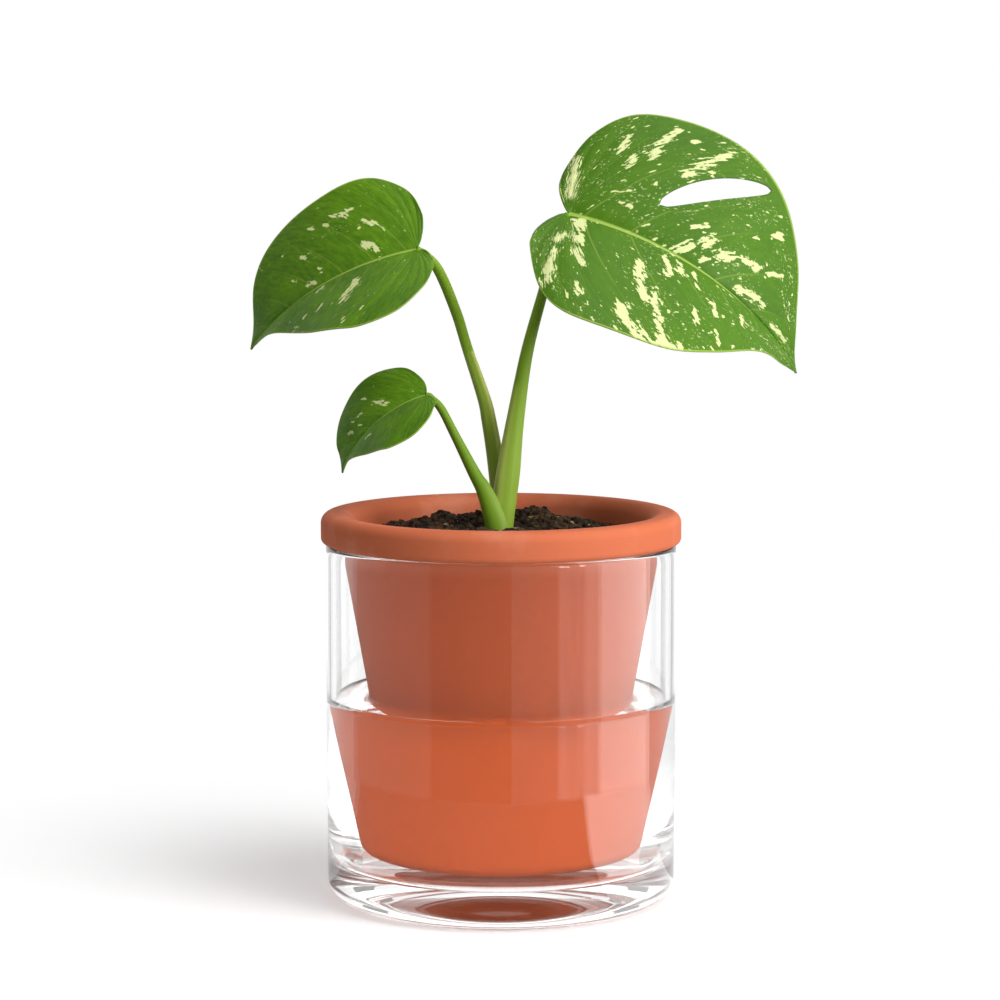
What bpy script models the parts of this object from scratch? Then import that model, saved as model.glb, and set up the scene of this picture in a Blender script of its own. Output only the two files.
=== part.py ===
"""Self-watering planter: a terracotta pot hung by its flange in a glass reservoir, filled and planted.

The origin is the centre of the glass underside, +Z is up and -Y is the front.
Every piece is a separate closed object, with a named clearance to the pieces it meets.
"""

import math

import bmesh
import bpy
import numpy as np
from mathutils import Matrix, Vector

MM = 0.001

# Fits
CLEARANCE = 0.3 * MM
WALL_CLEARANCE = 0.35 * MM

# Glass reservoir
GLASS_WALL = 3.5 * MM
GLASS_HEIGHT = 139.0 * MM
GLASS_BASE = 14.5 * MM
GLASS_FOOT_RADIUS = 8.0 * MM
GLASS_FLOOR_RADIUS = 7.0 * MM
GLASS_LIP_RADIUS = 1.6 * MM

# Terracotta pot
RIM_DIAMETER = 140.0 * MM
RIM_OVERHANG = 1.9 * MM
RIM_HEIGHT = 11.7 * MM
RIM_TOP_RADIUS = 4.0 * MM
RIM_LOWER_RADIUS = 2.0 * MM
RIM_MOUTH_RADIUS = 6.0 * MM
NECK_RADIUS = 1.5 * MM
NECK_GAP = 2.5 * MM
POT_FOOT_DIAMETER = 80.4 * MM
POT_FOOT_RADIUS = 5.0 * MM
POT_WALL = 6.0 * MM
POT_FLOOR = 8.0 * MM
POT_FLOOR_RADIUS = 6.0 * MM
POT_STANDOFF = 2.0 * MM

# Water and soil
WATER_DEPTH = 64.1 * MM
SOIL_HEADSPACE = 10.5 * MM
SOIL_MOUND = 3.5 * MM
MOUND_BREADTH = 1.6

# Root crown and roots
CROWN_MARGIN = 2.0 * MM
CROWN_HEIGHT = 24.0 * MM
CROWN_FOOT_SHARE = 0.55
CROWN_STANDS_OUT = 0.8 * MM
ROOT_COUNT = 6
ROOT_RADIUS = 1.8 * MM
ROOT_TIP_RADIUS = 0.8 * MM
ROOT_START_DEPTH = 19.0 * MM
ROOT_START_SPREAD = 2.0 * MM
ROOT_REACH = 24.0 * MM
ROOT_FALL = 62.0 * MM
ROOT_WAVE = 3.0 * MM
ROOT_CLEARANCE = 0.5 * MM
CUTTER_OVERRUN = 6.0 * MM

# Leaf stalks
STALK_CLEARANCE = 0.3 * MM
STALK_END_GAP = 3.0 * MM
STALK_END_RADIUS = 1.0 * MM

# Leaf blades
LEAF_THICKNESS = 0.7 * MM
VEIN_FAN = 0.58
VEIN_ARCH = 0.13
LEAF_ROWS = 18
LEAF_COLUMNS = 9
COLUMN_EASE = 1.25
FIRST_ROW = 0.06

# Facets
SEGMENTS = 48
ARC_STEPS = 3
TUBE_SIDES = 10
CROWN_SIDES = 20
SOIL_RINGS = 13
ROOT_STEPS = 9
WELD = 0.01 * MM

# Worked out from the sizes above
GLASS_OUTER = RIM_DIAMETER / 2 - RIM_OVERHANG
GLASS_INNER = GLASS_OUTER - GLASS_WALL
RIM_UNDERSIDE = GLASS_HEIGHT + CLEARANCE
RIM_TOP = RIM_UNDERSIDE + RIM_HEIGHT
POT_BOTTOM = GLASS_BASE + POT_STANDOFF
POT_TAPER = (GLASS_INNER - NECK_GAP - POT_FOOT_DIAMETER / 2) / (RIM_UNDERSIDE - POT_BOTTOM)
POT_INSIDE = POT_BOTTOM + POT_FLOOR
WATER_LEVEL = GLASS_BASE + WATER_DEPTH
SOIL_EDGE = RIM_TOP - SOIL_HEADSPACE
SOIL_TOP = SOIL_EDGE + SOIL_MOUND
CROWN_TOP = SOIL_TOP + CROWN_STANDS_OUT
STALK_FOOT = CROWN_TOP + STALK_CLEARANCE

# Heaps on the soil: place, height and spread in millimetres
SOIL_HEAPS = (
    ((10, 20), 3.6, 17.0),
    ((-22, 16), 2.2, 14.0),
    ((13, 19), 2.4, 8.0),
    ((-9, 22), 1.4, 7.0),
    ((-26, 13), 2.2, 8.0),
    ((30, 8), 2.2, 8.0),
    ((24, -12), 2.4, 8.0),
    ((6, -24), 2.0, 8.0),
    ((-15, -20), 2.4, 8.0),
    ((-32, -6), 2.0, 8.0),
    ((33, 28), 1.8, 7.0),
    ((12, 41), 2.0, 7.0),
    ((-18, 39), 2.0, 7.0),
    ((-41, 15), 1.8, 7.0),
    ((-36, -26), 2.0, 7.0),
    ((-10, -43), 2.0, 7.0),
    ((18, -40), 2.2, 7.0),
    ((41, -17), 1.8, 7.0),
)

# Stalk routes: points above the foot in millimetres, and the radius at each
RIGHT_STALK = (
    ((0.4, 0.0, 0.0), 4.4),
    ((1.6, 0.0, 11.0), 4.4),
    ((3.0, 0.0, 22.1), 4.1),
    ((5.6, 1.0, 41.5), 3.0),
    ((10.0, 2.0, 67.4), 2.2),
    ((16.5, 4.0, 91.7), 1.9),
    ((21.2, 5.5, 109.0), 1.9),
)
LEFT_STALK = (
    ((0.2, 8.0, 0.0), 3.1),
    ((-0.7, 8.2, 10.8), 3.1),
    ((-2.5, 8.5, 27.1), 3.0),
    ((-4.8, 9.0, 40.8), 2.8),
    ((-6.7, 9.5, 49.3), 2.6),
    ((-13.0, 11.0, 68.0), 1.7),
    ((-17.7, 12.0, 83.1), 1.7),
    ((-25.0, 14.0, 99.8), 1.6),
)
LOW_STALK = (
    ((-1.0, -7.8, 0.0), 3.1),
    ((-3.8, -7.8, 8.2), 3.0),
    ((-7.0, -8.0, 15.6), 2.6),
    ((-10.6, -8.5, 22.2), 2.2),
    ((-17.8, -10.0, 36.6), 1.7),
    ((-23.5, -12.0, 47.6), 1.5),
)

# Leaf outlines: margin points in millimetres along and across the midrib, from the stalk to the tip
RIGHT_LEAF = {
    "joint": (26.2, 6.0, 121.1),
    "length": 120.0,
    "bearing": -16.3,
    "rise": -12.2,
    "roll": -45.8,
    "arch_radius": 99.0,
    "fold": 0.23,
    "droop_radius": 337.0,
    "sides": (
        ((-4, 5), (-7.5, 12), (-7.5, 20), (-2, 36), (10, 50), (28, 56.5), (47, 57.5), (64, 53),
         (79, 44.5), (92, 31.5), (103, 13), (110, 4.5)),
        ((-4, -3), (-7.5, -9), (-8, -18), (-6, -26), (3.5, -43.5), (16, -52.5), (34.5, -52.5),
         (54, -46.5), (72, -33), (88, -18), (98, -11), (108, -6)),
    ),
    "slot": {"side": 0, "margin": 0.65, "columns": (2, 8), "half_width": 4.6, "reach": 16.0},
}
LEFT_LEAF = {
    "joint": (-32.8, 14.0, 107.1),
    "length": 83.5,
    "bearing": 183.2,
    "rise": -11.2,
    "roll": 41.9,
    "arch_radius": 90.0,
    "fold": 0.22,
    "droop_radius": 346.0,
    "sides": (
        ((-3.5, 3.5), (-5, 8.5), (-4, 15.5), (1, 26.5), (11.5, 35.5), (26, 36.5), (35.5, 33),
         (45, 27), (54.5, 18.5), (65, 9), (72.5, 4.5)),
        ((-2, -5), (-4, -11), (-4.5, -17), (-1.5, -28), (6.5, -36.5), (15.5, -39.5), (29.5, -39),
         (46, -36.5), (58.5, -30.5), (69.5, -20.5), (77, -8)),
    ),
    "slot": None,
}
LOW_LEAF = {
    "joint": (-28.9, -12.0, 52.2),
    "length": 48.0,
    "bearing": 189.2,
    "rise": -16.6,
    "roll": 31.9,
    "arch_radius": 42.5,
    "fold": 0.21,
    "droop_radius": 92.0,
    "sides": (
        ((-1.5, 3), (-2.5, 6), (-1, 10), (3.5, 17.5), (11, 21.5), (20, 20.5), (24.5, 17.5),
         (30, 12.5), (35.5, 7), (41, 2.5)),
        ((-1, -3), (-1, -8), (2.5, -16.5), (8.5, -21), (16.5, -22.5), (25.5, -21.5), (34, -17.5),
         (41, -10), (44, -5)),
    ),
    "slot": None,
}


def clear_scene():
    """Remove every object, so the script can run in any file."""
    for item in list(bpy.data.objects):
        bpy.data.objects.remove(item, do_unlink=True)


def make_material(name, color, roughness, transmission=0.0, ior=1.5):
    """A plain Principled material."""
    material = bpy.data.materials.new(name)
    material.use_nodes = True
    shader = material.node_tree.nodes["Principled BSDF"]
    shader.inputs["Base Color"].default_value = (*color, 1.0)
    shader.inputs["Roughness"].default_value = roughness
    shader.inputs["Metallic"].default_value = 0.0
    shader.inputs["Transmission Weight"].default_value = transmission
    shader.inputs["IOR"].default_value = ior
    return material


def add_object(name, mesh, material, parent=None):
    """Link a mesh as a named object with its own material."""
    item = bpy.data.objects.new(name, mesh)
    bpy.context.scene.collection.objects.link(item)
    if material is not None:
        mesh.materials.append(material)
    if parent is not None:
        item.parent = parent
    return item


def mesh_of(name, build):
    """Make a mesh by handing a new bmesh to a build function."""
    shape = bmesh.new()
    build(shape)
    mesh = bpy.data.meshes.new(name)
    shape.to_mesh(mesh)
    shape.free()
    return mesh


def rounded(corners):
    """Profile points for (radius, height, fillet) corners, each fillet turned into an arc."""
    points = []
    for index, (radius, height, fillet) in enumerate(corners):
        here = Vector((radius, height))
        if fillet <= 0.0:
            points.append(here)
            continue
        back = (Vector(corners[index - 1][:2]) - here).normalized()
        ahead = (Vector(corners[index + 1][:2]) - here).normalized()
        half = back.angle(ahead) / 2
        center = here + (back + ahead).normalized() * (fillet / math.sin(half))
        first = here + back * (fillet / math.tan(half)) - center
        last = here + ahead * (fillet / math.tan(half)) - center
        turn = first.angle_signed(last)
        for step in range(ARC_STEPS + 1):
            points.append(center + first @ Matrix.Rotation(turn * step / ARC_STEPS, 2))
    return points


def revolved(name, profile, material, parent=None):
    """Turn a profile, which runs down its outer side, about Z with a Screw modifier."""
    def build(shape):
        verts = [shape.verts.new((point.x, 0.0, point.y)) for point in profile]
        for first, second in zip(verts, verts[1:]):
            shape.edges.new((first, second))

    item = add_object(name, mesh_of(name, build), material, parent)
    screw = item.modifiers.new("Turn", "SCREW")
    screw.axis = "Z"
    screw.steps = SEGMENTS
    screw.render_steps = SEGMENTS
    screw.use_merge_vertices = True
    screw.merge_threshold = WELD
    screw.use_smooth_shade = True
    return item


def wall_radius(height):
    """Outer radius of the pot's tapered wall at a height."""
    return POT_FOOT_DIAMETER / 2 + POT_TAPER * (height - POT_BOTTOM)


def glass_reservoir():
    """The glass vessel: thick floor, straight wall and rounded lip."""
    corners = (
        (0.0, GLASS_BASE, 0.0),
        (GLASS_INNER, GLASS_BASE, GLASS_FLOOR_RADIUS),
        (GLASS_INNER, GLASS_HEIGHT, GLASS_LIP_RADIUS),
        (GLASS_OUTER, GLASS_HEIGHT, GLASS_LIP_RADIUS),
        (GLASS_OUTER, 0.0, GLASS_FOOT_RADIUS),
        (0.0, 0.0, 0.0),
    )
    material = make_material("clear_glass", (0.95, 0.97, 0.97), 0.02, 1.0)
    return revolved("glass_reservoir", rounded(corners), material)


def reservoir_water(parent):
    """The water around and under the pot, clear of both walls."""
    under_pot = POT_BOTTOM - CLEARANCE
    floor = GLASS_BASE + CLEARANCE
    outer = GLASS_INNER - WALL_CLEARANCE
    corners = (
        (0.0, under_pot, 0.0),
        (wall_radius(under_pot) + WALL_CLEARANCE, under_pot, POT_FOOT_RADIUS),
        (wall_radius(WATER_LEVEL) + WALL_CLEARANCE, WATER_LEVEL, 0.0),
        (outer, WATER_LEVEL, 0.0),
        (outer, floor, GLASS_FLOOR_RADIUS),
        (0.0, floor, 0.0),
    )
    material = make_material("clear_water", (0.93, 0.97, 1.0), 0.02, 1.0, 1.333)
    return revolved("reservoir_water", rounded(corners), material, parent)


def terracotta_pot(parent):
    """The tapered clay pot, whose flange rests on the glass lip."""
    corners = (
        (0.0, POT_INSIDE, 0.0),
        (wall_radius(POT_INSIDE) - POT_WALL, POT_INSIDE, POT_FLOOR_RADIUS),
        (wall_radius(RIM_TOP) - POT_WALL, RIM_TOP, RIM_MOUTH_RADIUS),
        (RIM_DIAMETER / 2, RIM_TOP, RIM_TOP_RADIUS),
        (RIM_DIAMETER / 2, RIM_UNDERSIDE, RIM_LOWER_RADIUS),
        (wall_radius(RIM_UNDERSIDE), RIM_UNDERSIDE, NECK_RADIUS),
        (wall_radius(POT_BOTTOM), POT_BOTTOM, POT_FOOT_RADIUS),
        (0.0, POT_BOTTOM, 0.0),
    )
    material = make_material("unglazed_terracotta", (0.58, 0.16, 0.07), 0.85)
    return revolved("terracotta_pot", rounded(corners), material, parent)


def crown_half_size(axis):
    """Half the crown's size along X or Y, so that every stalk's foot stands on it."""
    feet = [(route[0][0][axis], route[0][1]) for route in (RIGHT_STALK, LEFT_STALK, LOW_STALK)]
    return max(abs(place) + radius for place, radius in feet) * MM + CROWN_MARGIN


def crown_mesh(name, clearance, overrun=0.0):
    """A tapered oval stem stump, made larger by a clearance, and taller, when it is a cutter."""
    def build(shape):
        top = CROWN_TOP + overrun
        bottom = CROWN_TOP - CROWN_HEIGHT - clearance
        angles = [2 * math.pi * side / CROWN_SIDES for side in range(CROWN_SIDES)]
        flare = (1.0 - CROWN_FOOT_SHARE) / CROWN_HEIGHT
        rings = []
        for height, share in ((bottom, CROWN_FOOT_SHARE), (top, 1.0 + flare * overrun)):
            wide = crown_half_size(0) * share + clearance
            deep = crown_half_size(1) * share + clearance
            rings.append([
                shape.verts.new((wide * math.cos(a), deep * math.sin(a), height)) for a in angles
            ])
        cap_tube(shape, rings)

    return mesh_of(name, build)


def cap_tube(shape, rings):
    """Join rings of vertices with quads, and close both ends."""
    for lower, upper in zip(rings, rings[1:]):
        for side in range(len(lower)):
            after = (side + 1) % len(lower)
            shape.faces.new((lower[side], lower[after], upper[after], upper[side]))
    shape.faces.new(list(reversed(rings[0])))
    shape.faces.new(rings[-1])
    for face in shape.faces:
        face.smooth = len(face.verts) == 4


def tube_mesh(name, points, radii):
    """A closed tube along rising points, its rings square to the path; the first ring is level."""
    def build(shape):
        rings = []
        for index, (point, radius) in enumerate(zip(points, radii)):
            before = points[max(index - 1, 0)]
            after = points[min(index + 1, len(points) - 1)]
            along = (after - before).normalized() if index else Vector((0, 0, 1))
            turn = Vector((0, 0, 1)).rotation_difference(along).to_matrix()
            ring = []
            for side in range(TUBE_SIDES):
                angle = 2 * math.pi * side / TUBE_SIDES
                offset = Vector((radius * math.cos(angle), radius * math.sin(angle), 0.0))
                ring.append(shape.verts.new(point + turn @ offset))
            rings.append(ring)
        cap_tube(shape, rings)

    return mesh_of(name, build)


def root_mesh(name, index, clearance):
    """One root: it leaves the crown's foot, spreads outwards and waves as it falls."""
    start = Vector((0, 0, CROWN_TOP - ROOT_START_DEPTH))
    fall = Vector((0, 0, -ROOT_FALL))
    bearing = 2 * math.pi * (index + 0.5) / ROOT_COUNT
    away = Vector((math.cos(bearing), math.sin(bearing), 0.0))
    across = Vector((-math.sin(bearing), math.cos(bearing), 0.0))
    points = []
    radii = []
    for step in range(ROOT_STEPS + 1):
        share = step / ROOT_STEPS
        spread = ROOT_START_SPREAD + ROOT_REACH * share
        wave = ROOT_WAVE * share * math.sin(2 * math.pi * share + index)
        points.append(start + away * spread + across * wave + fall * share)
        radii.append(ROOT_RADIUS + (ROOT_TIP_RADIUS - ROOT_RADIUS) * share + clearance)
    if clearance > 0.0:
        points.append(points[-1] + (points[-1] - points[-2]).normalized() * clearance)
        radii.append(radii[-1])
    return tube_mesh(name, points[::-1], radii[::-1])


def hide_cutter(item):
    """Mark an object as a helper of a Boolean."""
    item.hide_render = True
    item.display_type = "WIRE"


def add_boolean(item, cutter, operation):
    """Apply one helper object to an item with an exact Boolean."""
    hide_cutter(cutter)
    change = item.modifiers.new(cutter.name, "BOOLEAN")
    change.operation = operation
    change.solver = "EXACT"
    change.object = cutter


def soil_height(x, y, edge_radius):
    """Height of the soil's surface: a broad mound to the stem, with heaps on it."""
    share = min(math.hypot(x, y) / edge_radius, 1.0) ** MOUND_BREADTH
    height = SOIL_EDGE + SOIL_MOUND * (1 + math.cos(math.pi * share)) / 2
    for (heap_x, heap_y), rise, spread in SOIL_HEAPS:
        away = math.hypot(x / MM - heap_x, y / MM - heap_y)
        height += rise * MM * math.exp(-((away / spread) ** 2))
    return height


def soil_mesh(name):
    """The root ball's closed skin, ring by ring: floor, tapered side and heaped top."""
    edge_radius = wall_radius(SOIL_EDGE) - POT_WALL - WALL_CLEARANCE
    floor = POT_INSIDE + CLEARANCE
    side = rounded((
        (0.0, floor, 0.0),
        (wall_radius(floor) - POT_WALL - WALL_CLEARANCE, floor, POT_FLOOR_RADIUS),
        (edge_radius, SOIL_EDGE, 0.0),
    ))

    def build(shape):
        angles = [2 * math.pi * spoke / SEGMENTS for spoke in range(SEGMENTS)]
        rings = []
        for point in side[1:-1]:
            rings.append([
                shape.verts.new((point.x * math.cos(a), point.x * math.sin(a), point.y)) for a in angles
            ])
        for step in range(SOIL_RINGS, 0, -1):
            radius = edge_radius * step / SOIL_RINGS
            places = [(radius * math.cos(a), radius * math.sin(a)) for a in angles]
            rings.append([shape.verts.new((x, y, soil_height(x, y, edge_radius))) for x, y in places])
        cap_tube(shape, rings)

    return mesh_of(name, build)


def potting_soil(parent):
    """The root ball: it fills the pot, mounds to the stem, and is cut clear of crown and roots."""
    material = make_material("potting_mix", (0.018, 0.011, 0.006), 0.95)
    soil = add_object("potting_soil", soil_mesh("potting_soil"), material, parent)
    hole = crown_mesh("crown_hole", ROOT_CLEARANCE, CUTTER_OVERRUN)
    add_boolean(soil, add_object("crown_hole", hole, None), "DIFFERENCE")
    for index in range(ROOT_COUNT):
        name = f"root_hole_{index + 1}"
        add_boolean(soil, add_object(name, root_mesh(name, index, ROOT_CLEARANCE), None), "DIFFERENCE")
    return soil


def root_crown(parent):
    """The buried stem with its roots, joined into one body."""
    material = make_material("root_tissue", (0.42, 0.30, 0.16), 0.7)
    crown = add_object("root_crown", crown_mesh("root_crown", 0.0), material, parent)
    for index in range(ROOT_COUNT):
        name = f"root_{index + 1}"
        add_boolean(crown, add_object(name, root_mesh(name, index, 0.0), None), "UNION")
    return crown


def petiole(name, route, leaf, material, parent):
    """A leaf stalk from the crown to just short of its leaf's joint."""
    foot = Vector((0.0, 0.0, STALK_FOOT))
    points = [foot + Vector(point) * MM for point, _ in route]
    joint = foot + Vector(leaf["joint"]) * MM
    along = (joint - points[-1]).normalized()
    points.append(joint - along * STALK_END_GAP)
    radii = [radius * MM for _, radius in route] + [STALK_END_RADIUS]
    return add_object(name, tube_mesh(name, points, radii), material, parent)


def spline(points, places):
    """Catmull-Rom curve through points, at places from 0 to 1 along it."""
    points = np.asarray(points, float)
    padded = np.vstack((2 * points[0] - points[1], points, 2 * points[-1] - points[-2]))
    spans = len(points) - 1
    index = np.minimum((places * spans).astype(int), spans - 1)
    t = (places * spans - index)[:, None]
    a, b, c, d = (padded[index + shift] for shift in range(4))
    return 0.5 * (2 * b + (c - a) * t + (2 * a - 5 * b + 4 * c - d) * t**2 + (3 * b - a - 3 * c + d) * t**3)


def vein_points(margin, places, length):
    """Points along veins to the margin: the first fan from the stalk, the rest leave the midrib in turn."""
    origin = np.zeros_like(margin)
    origin[:, 0] = length * np.clip((places - VEIN_FAN) / (1.0 - VEIN_FAN), 0.0, 1.0)
    reach = margin - origin
    outward = np.sign(margin[:, 1:2])
    bulge = VEIN_ARCH * np.column_stack((-reach[:, 1], reach[:, 0])) * outward
    t = (1.0 - np.linspace(1.0, 0.0, LEAF_COLUMNS + 1) ** COLUMN_EASE)[None, :, None]
    return origin[:, None] + reach[:, None] * t + bulge[:, None] * 2 * t * (1 - t)


def slot_shift(slot, places, flat):
    """How far the blade parts across the veins to open its slot."""
    first, last = slot["columns"]
    inside = np.clip((np.arange(flat.shape[1]) - first) / (last - first), 0.0, 1.0)
    opening = slot["half_width"] * np.sin(np.pi * inside)
    nearest = np.argmin(np.abs(places - slot["margin"]))
    line = flat[nearest]
    along = np.gradient(line, axis=0)
    across = np.column_stack((-along[:, 1], along[:, 0])) / np.linalg.norm(along, axis=1)[:, None]
    away = np.einsum("rcd,cd->rc", flat - line, across)
    fade = np.clip(1.0 - np.abs(away) / slot["reach"], 0.0, 1.0)
    return across[None] * (opening * fade)[..., None]


def blade_side(leaf, side):
    """Flat grids of one half of a blade, split in two where a slot opens."""
    tip = (leaf["length"], 0.0)
    places = np.linspace(FIRST_ROW, 1.0, LEAF_ROWS + 1)
    slot = leaf["slot"]
    margin = spline(((0.0, 0.0), *leaf["sides"][side], tip), places)
    flat = vein_points(margin, places, leaf["length"])
    if slot is None or slot["side"] != side:
        return [flat]
    shift = slot_shift(slot, places, flat)
    row = int(np.argmin(np.abs(places - slot["margin"])))
    return [flat[: row + 1] + shift[: row + 1], flat[row:] - shift[row:]]


def curved(leaf, flat):
    """Bend a flat blade: an arc along the midrib, a fold at it and a droop to the margins."""
    along = flat[..., 0]
    across = flat[..., 1]
    angle = along / leaf["arch_radius"]
    lift = leaf["fold"] * np.abs(across) - across**2 / (2 * leaf["droop_radius"])
    x = (leaf["arch_radius"] + lift) * np.sin(angle)
    z = (leaf["arch_radius"] + lift) * np.cos(angle) - leaf["arch_radius"]
    return np.stack((x, across, z), axis=-1) * MM


def leaf_turn(leaf):
    """Rotation whose X runs out along the midrib and whose Z is the blade's upper face."""
    bearing = math.radians(leaf["bearing"])
    rise = math.radians(leaf["rise"])
    roll = math.radians(leaf["roll"])
    out = Vector((math.cos(rise) * math.cos(bearing), math.cos(rise) * math.sin(bearing), math.sin(rise)))
    side = Vector((0, 0, 1)).cross(out).normalized()
    face = out.cross(side)
    upper = face * math.cos(roll) + side * math.sin(roll)
    return Matrix((out, upper.cross(out), upper)).transposed().to_4x4()


def leaf_blade(name, leaf, material, parent):
    """A leaf blade: both halves in one sheet, given its thickness by Solidify."""
    def build(shape):
        for side in range(len(leaf["sides"])):
            for grid in blade_side(leaf, side):
                add_grid(shape, curved(leaf, grid), side == 0)
        bmesh.ops.remove_doubles(shape, verts=shape.verts, dist=WELD)
        bmesh.ops.recalc_face_normals(shape, faces=shape.faces)

    item = add_object(name, mesh_of(name, build), material, parent)
    joint = Vector((0, 0, STALK_FOOT)) + Vector(leaf["joint"]) * MM
    item.matrix_local = Matrix.Translation(joint) @ leaf_turn(leaf)
    thick = item.modifiers.new("Thickness", "SOLIDIFY")
    thick.thickness = LEAF_THICKNESS
    thick.offset = 0.0
    return item


def add_grid(shape, grid, flip):
    """Add a grid of points to a bmesh as smooth quads."""
    verts = [[shape.verts.new(point) for point in row] for row in grid]
    for lower, upper in zip(verts, verts[1:]):
        for column in range(len(lower) - 1):
            corners = [lower[column], lower[column + 1], upper[column + 1], upper[column]]
            if flip:
                corners.reverse()
            shape.faces.new(corners).smooth = True


def plant(parent):
    """The three leaves on their stalks, all carried by the root ball."""
    stalks = (
        ("right", RIGHT_STALK, RIGHT_LEAF, (0.20, 0.36, 0.05), (0.13, 0.26, 0.04)),
        ("left", LEFT_STALK, LEFT_LEAF, (0.18, 0.34, 0.05), (0.07, 0.20, 0.03)),
        ("low", LOW_STALK, LOW_LEAF, (0.16, 0.32, 0.05), (0.06, 0.18, 0.03)),
    )
    for name, route, leaf, stalk_color, blade_color in stalks:
        stalk_material = make_material(f"stalk_{name}_green", stalk_color, 0.45)
        petiole(f"petiole_{name}", route, leaf, stalk_material, parent)
        blade_material = make_material(f"leaf_{name}_green", blade_color, 0.4)
        leaf_blade(f"leaf_{name}", leaf, blade_material, parent)


def main():
    clear_scene()
    glass = glass_reservoir()
    water = reservoir_water(glass)
    pot = terracotta_pot(water)
    soil = potting_soil(pot)
    root_crown(soil)
    plant(soil)


main()
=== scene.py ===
"""Finish for a self-watering planter: glass, water, clay, soil and a variegated young plant.

Each piece is a surface worked out with numpy, built by its own operator and carried by a body of the frame.
"""

import math

import bmesh
import bpy
import numpy as np
from bpy.props import FloatProperty, FloatVectorProperty, IntProperty, PointerProperty
from bpy.types import Operator, Panel, PropertyGroup
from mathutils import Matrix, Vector


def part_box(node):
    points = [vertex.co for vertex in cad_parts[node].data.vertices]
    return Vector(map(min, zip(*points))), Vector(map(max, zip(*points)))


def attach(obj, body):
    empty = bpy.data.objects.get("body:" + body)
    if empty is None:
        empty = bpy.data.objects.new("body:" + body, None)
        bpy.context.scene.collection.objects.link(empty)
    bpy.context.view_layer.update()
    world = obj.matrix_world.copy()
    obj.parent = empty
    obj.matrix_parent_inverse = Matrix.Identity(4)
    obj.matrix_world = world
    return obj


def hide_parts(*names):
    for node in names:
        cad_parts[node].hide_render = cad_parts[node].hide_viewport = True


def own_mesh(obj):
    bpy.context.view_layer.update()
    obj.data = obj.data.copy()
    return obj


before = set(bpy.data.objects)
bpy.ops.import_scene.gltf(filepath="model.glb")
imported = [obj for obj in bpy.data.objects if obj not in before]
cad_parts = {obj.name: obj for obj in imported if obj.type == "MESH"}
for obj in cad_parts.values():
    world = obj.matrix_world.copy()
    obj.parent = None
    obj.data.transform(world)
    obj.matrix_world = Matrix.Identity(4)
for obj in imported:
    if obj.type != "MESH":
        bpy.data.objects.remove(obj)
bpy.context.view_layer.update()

bl_info = {
    "name": "Self-watering planter",
    "version": (1, 0, 0),
    "blender": (4, 5, 0),
    "location": "3D View > Sidebar > Planter",
    "description": "Builds the finished pieces of a planted clay pot in a glass reservoir",
    "category": "Object",
}

MM = 0.001

# Places taken from the frame
GLASS_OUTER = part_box("glass_reservoir")[1].x
GLASS_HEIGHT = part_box("glass_reservoir")[1].z
RIM_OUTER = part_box("terracotta_pot")[1].x
RIM_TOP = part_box("terracotta_pot")[1].z
POT_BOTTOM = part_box("terracotta_pot")[0].z
WATER_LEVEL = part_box("reservoir_water")[1].z
SOIL_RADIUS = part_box("potting_soil")[1].x
SOIL_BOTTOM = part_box("potting_soil")[0].z
STALK_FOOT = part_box("petiole_right")[0].z

# Fineness of the surfaces
TURN_SEGMENTS = 224
ARC_STEPS = 14
LONGEST_SPAN = 3.0 * MM
BLADE_ROWS = 180
BLADE_COLUMNS = 45
STALK_RINGS = 170
STALK_SIDES = 48
SOIL_RINGS = 110
SOIL_SPOKES = 260
PUNT_STEPS = 24
WATER_STEPS = (24, 90)
FLOOR_RINGS = 9
FLOOR_SEGMENTS = 64
CARD_STEPS = 9
WELD = 0.001 * MM

# Leaf stalks: points above the foot in millimetres with the radius at each, the share of deep green, and the
# sheath's side in degrees, its start, end and taper along the stalk, its height, half width and paleness
STALKS = {
    "right": {
        "route": (
            ((0.4, 0.0, 0.0), 4.4),
            ((1.6, 0.0, 11.0), 4.5),
            ((3.0, 0.0, 22.1), 4.5),
            ((5.6, 1.0, 41.5), 3.4),
            ((10.0, 2.0, 67.4), 2.45),
            ((16.5, 4.0, 91.7), 2.0),
            ((21.2, 5.5, 109.0), 1.9),
        ),
        "deep": 0.10,
        "wing": {
            "facing": -50.0,
            "first": 0.02,
            "last": 0.57,
            "taper": 0.4,
            "height": 0.9,
            "width": 0.6,
            "pale": 0.8,
        },
    },
    "left": {
        "route": (
            ((0.2, 8.0, 0.0), 3.3),
            ((-0.7, 8.2, 10.8), 3.3),
            ((-2.5, 8.5, 27.1), 3.2),
            ((-4.8, 9.0, 40.8), 2.9),
            ((-6.7, 9.5, 49.3), 2.6),
            ((-13.0, 11.0, 68.0), 2.1),
            ((-17.7, 12.0, 83.1), 2.1),
            ((-25.0, 14.0, 99.8), 2.0),
        ),
        "deep": 0.0,
        "wing": {
            "facing": 42.0,
            "first": 0.1,
            "last": 0.66,
            "taper": 0.1,
            "height": 1.0,
            "width": 0.36,
            "pale": 1.0,
        },
    },
    "low": {
        "route": (
            ((-2.0, -7.8, 0.0), 3.9),
            ((-4.2, -7.8, 8.2), 3.5),
            ((-7.0, -8.0, 15.6), 2.9),
            ((-10.6, -8.5, 22.2), 2.4),
            ((-17.8, -10.0, 36.6), 1.8),
            ((-23.5, -12.0, 47.6), 1.6),
        ),
        "deep": 0.35,
        "wing": {
            "facing": 70.0,
            "first": 0.0,
            "last": 0.5,
            "taper": 0.6,
            "height": 1.2,
            "width": 0.6,
            "pale": 0.2,
        },
    },
}

# How pale the sheath is away from its edge, how fast it widens at its start and pales towards its edge
SHEATH_TINT = 0.16
SHEATH_START = 0.12
SHEATH_GAIN = 1.6

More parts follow.
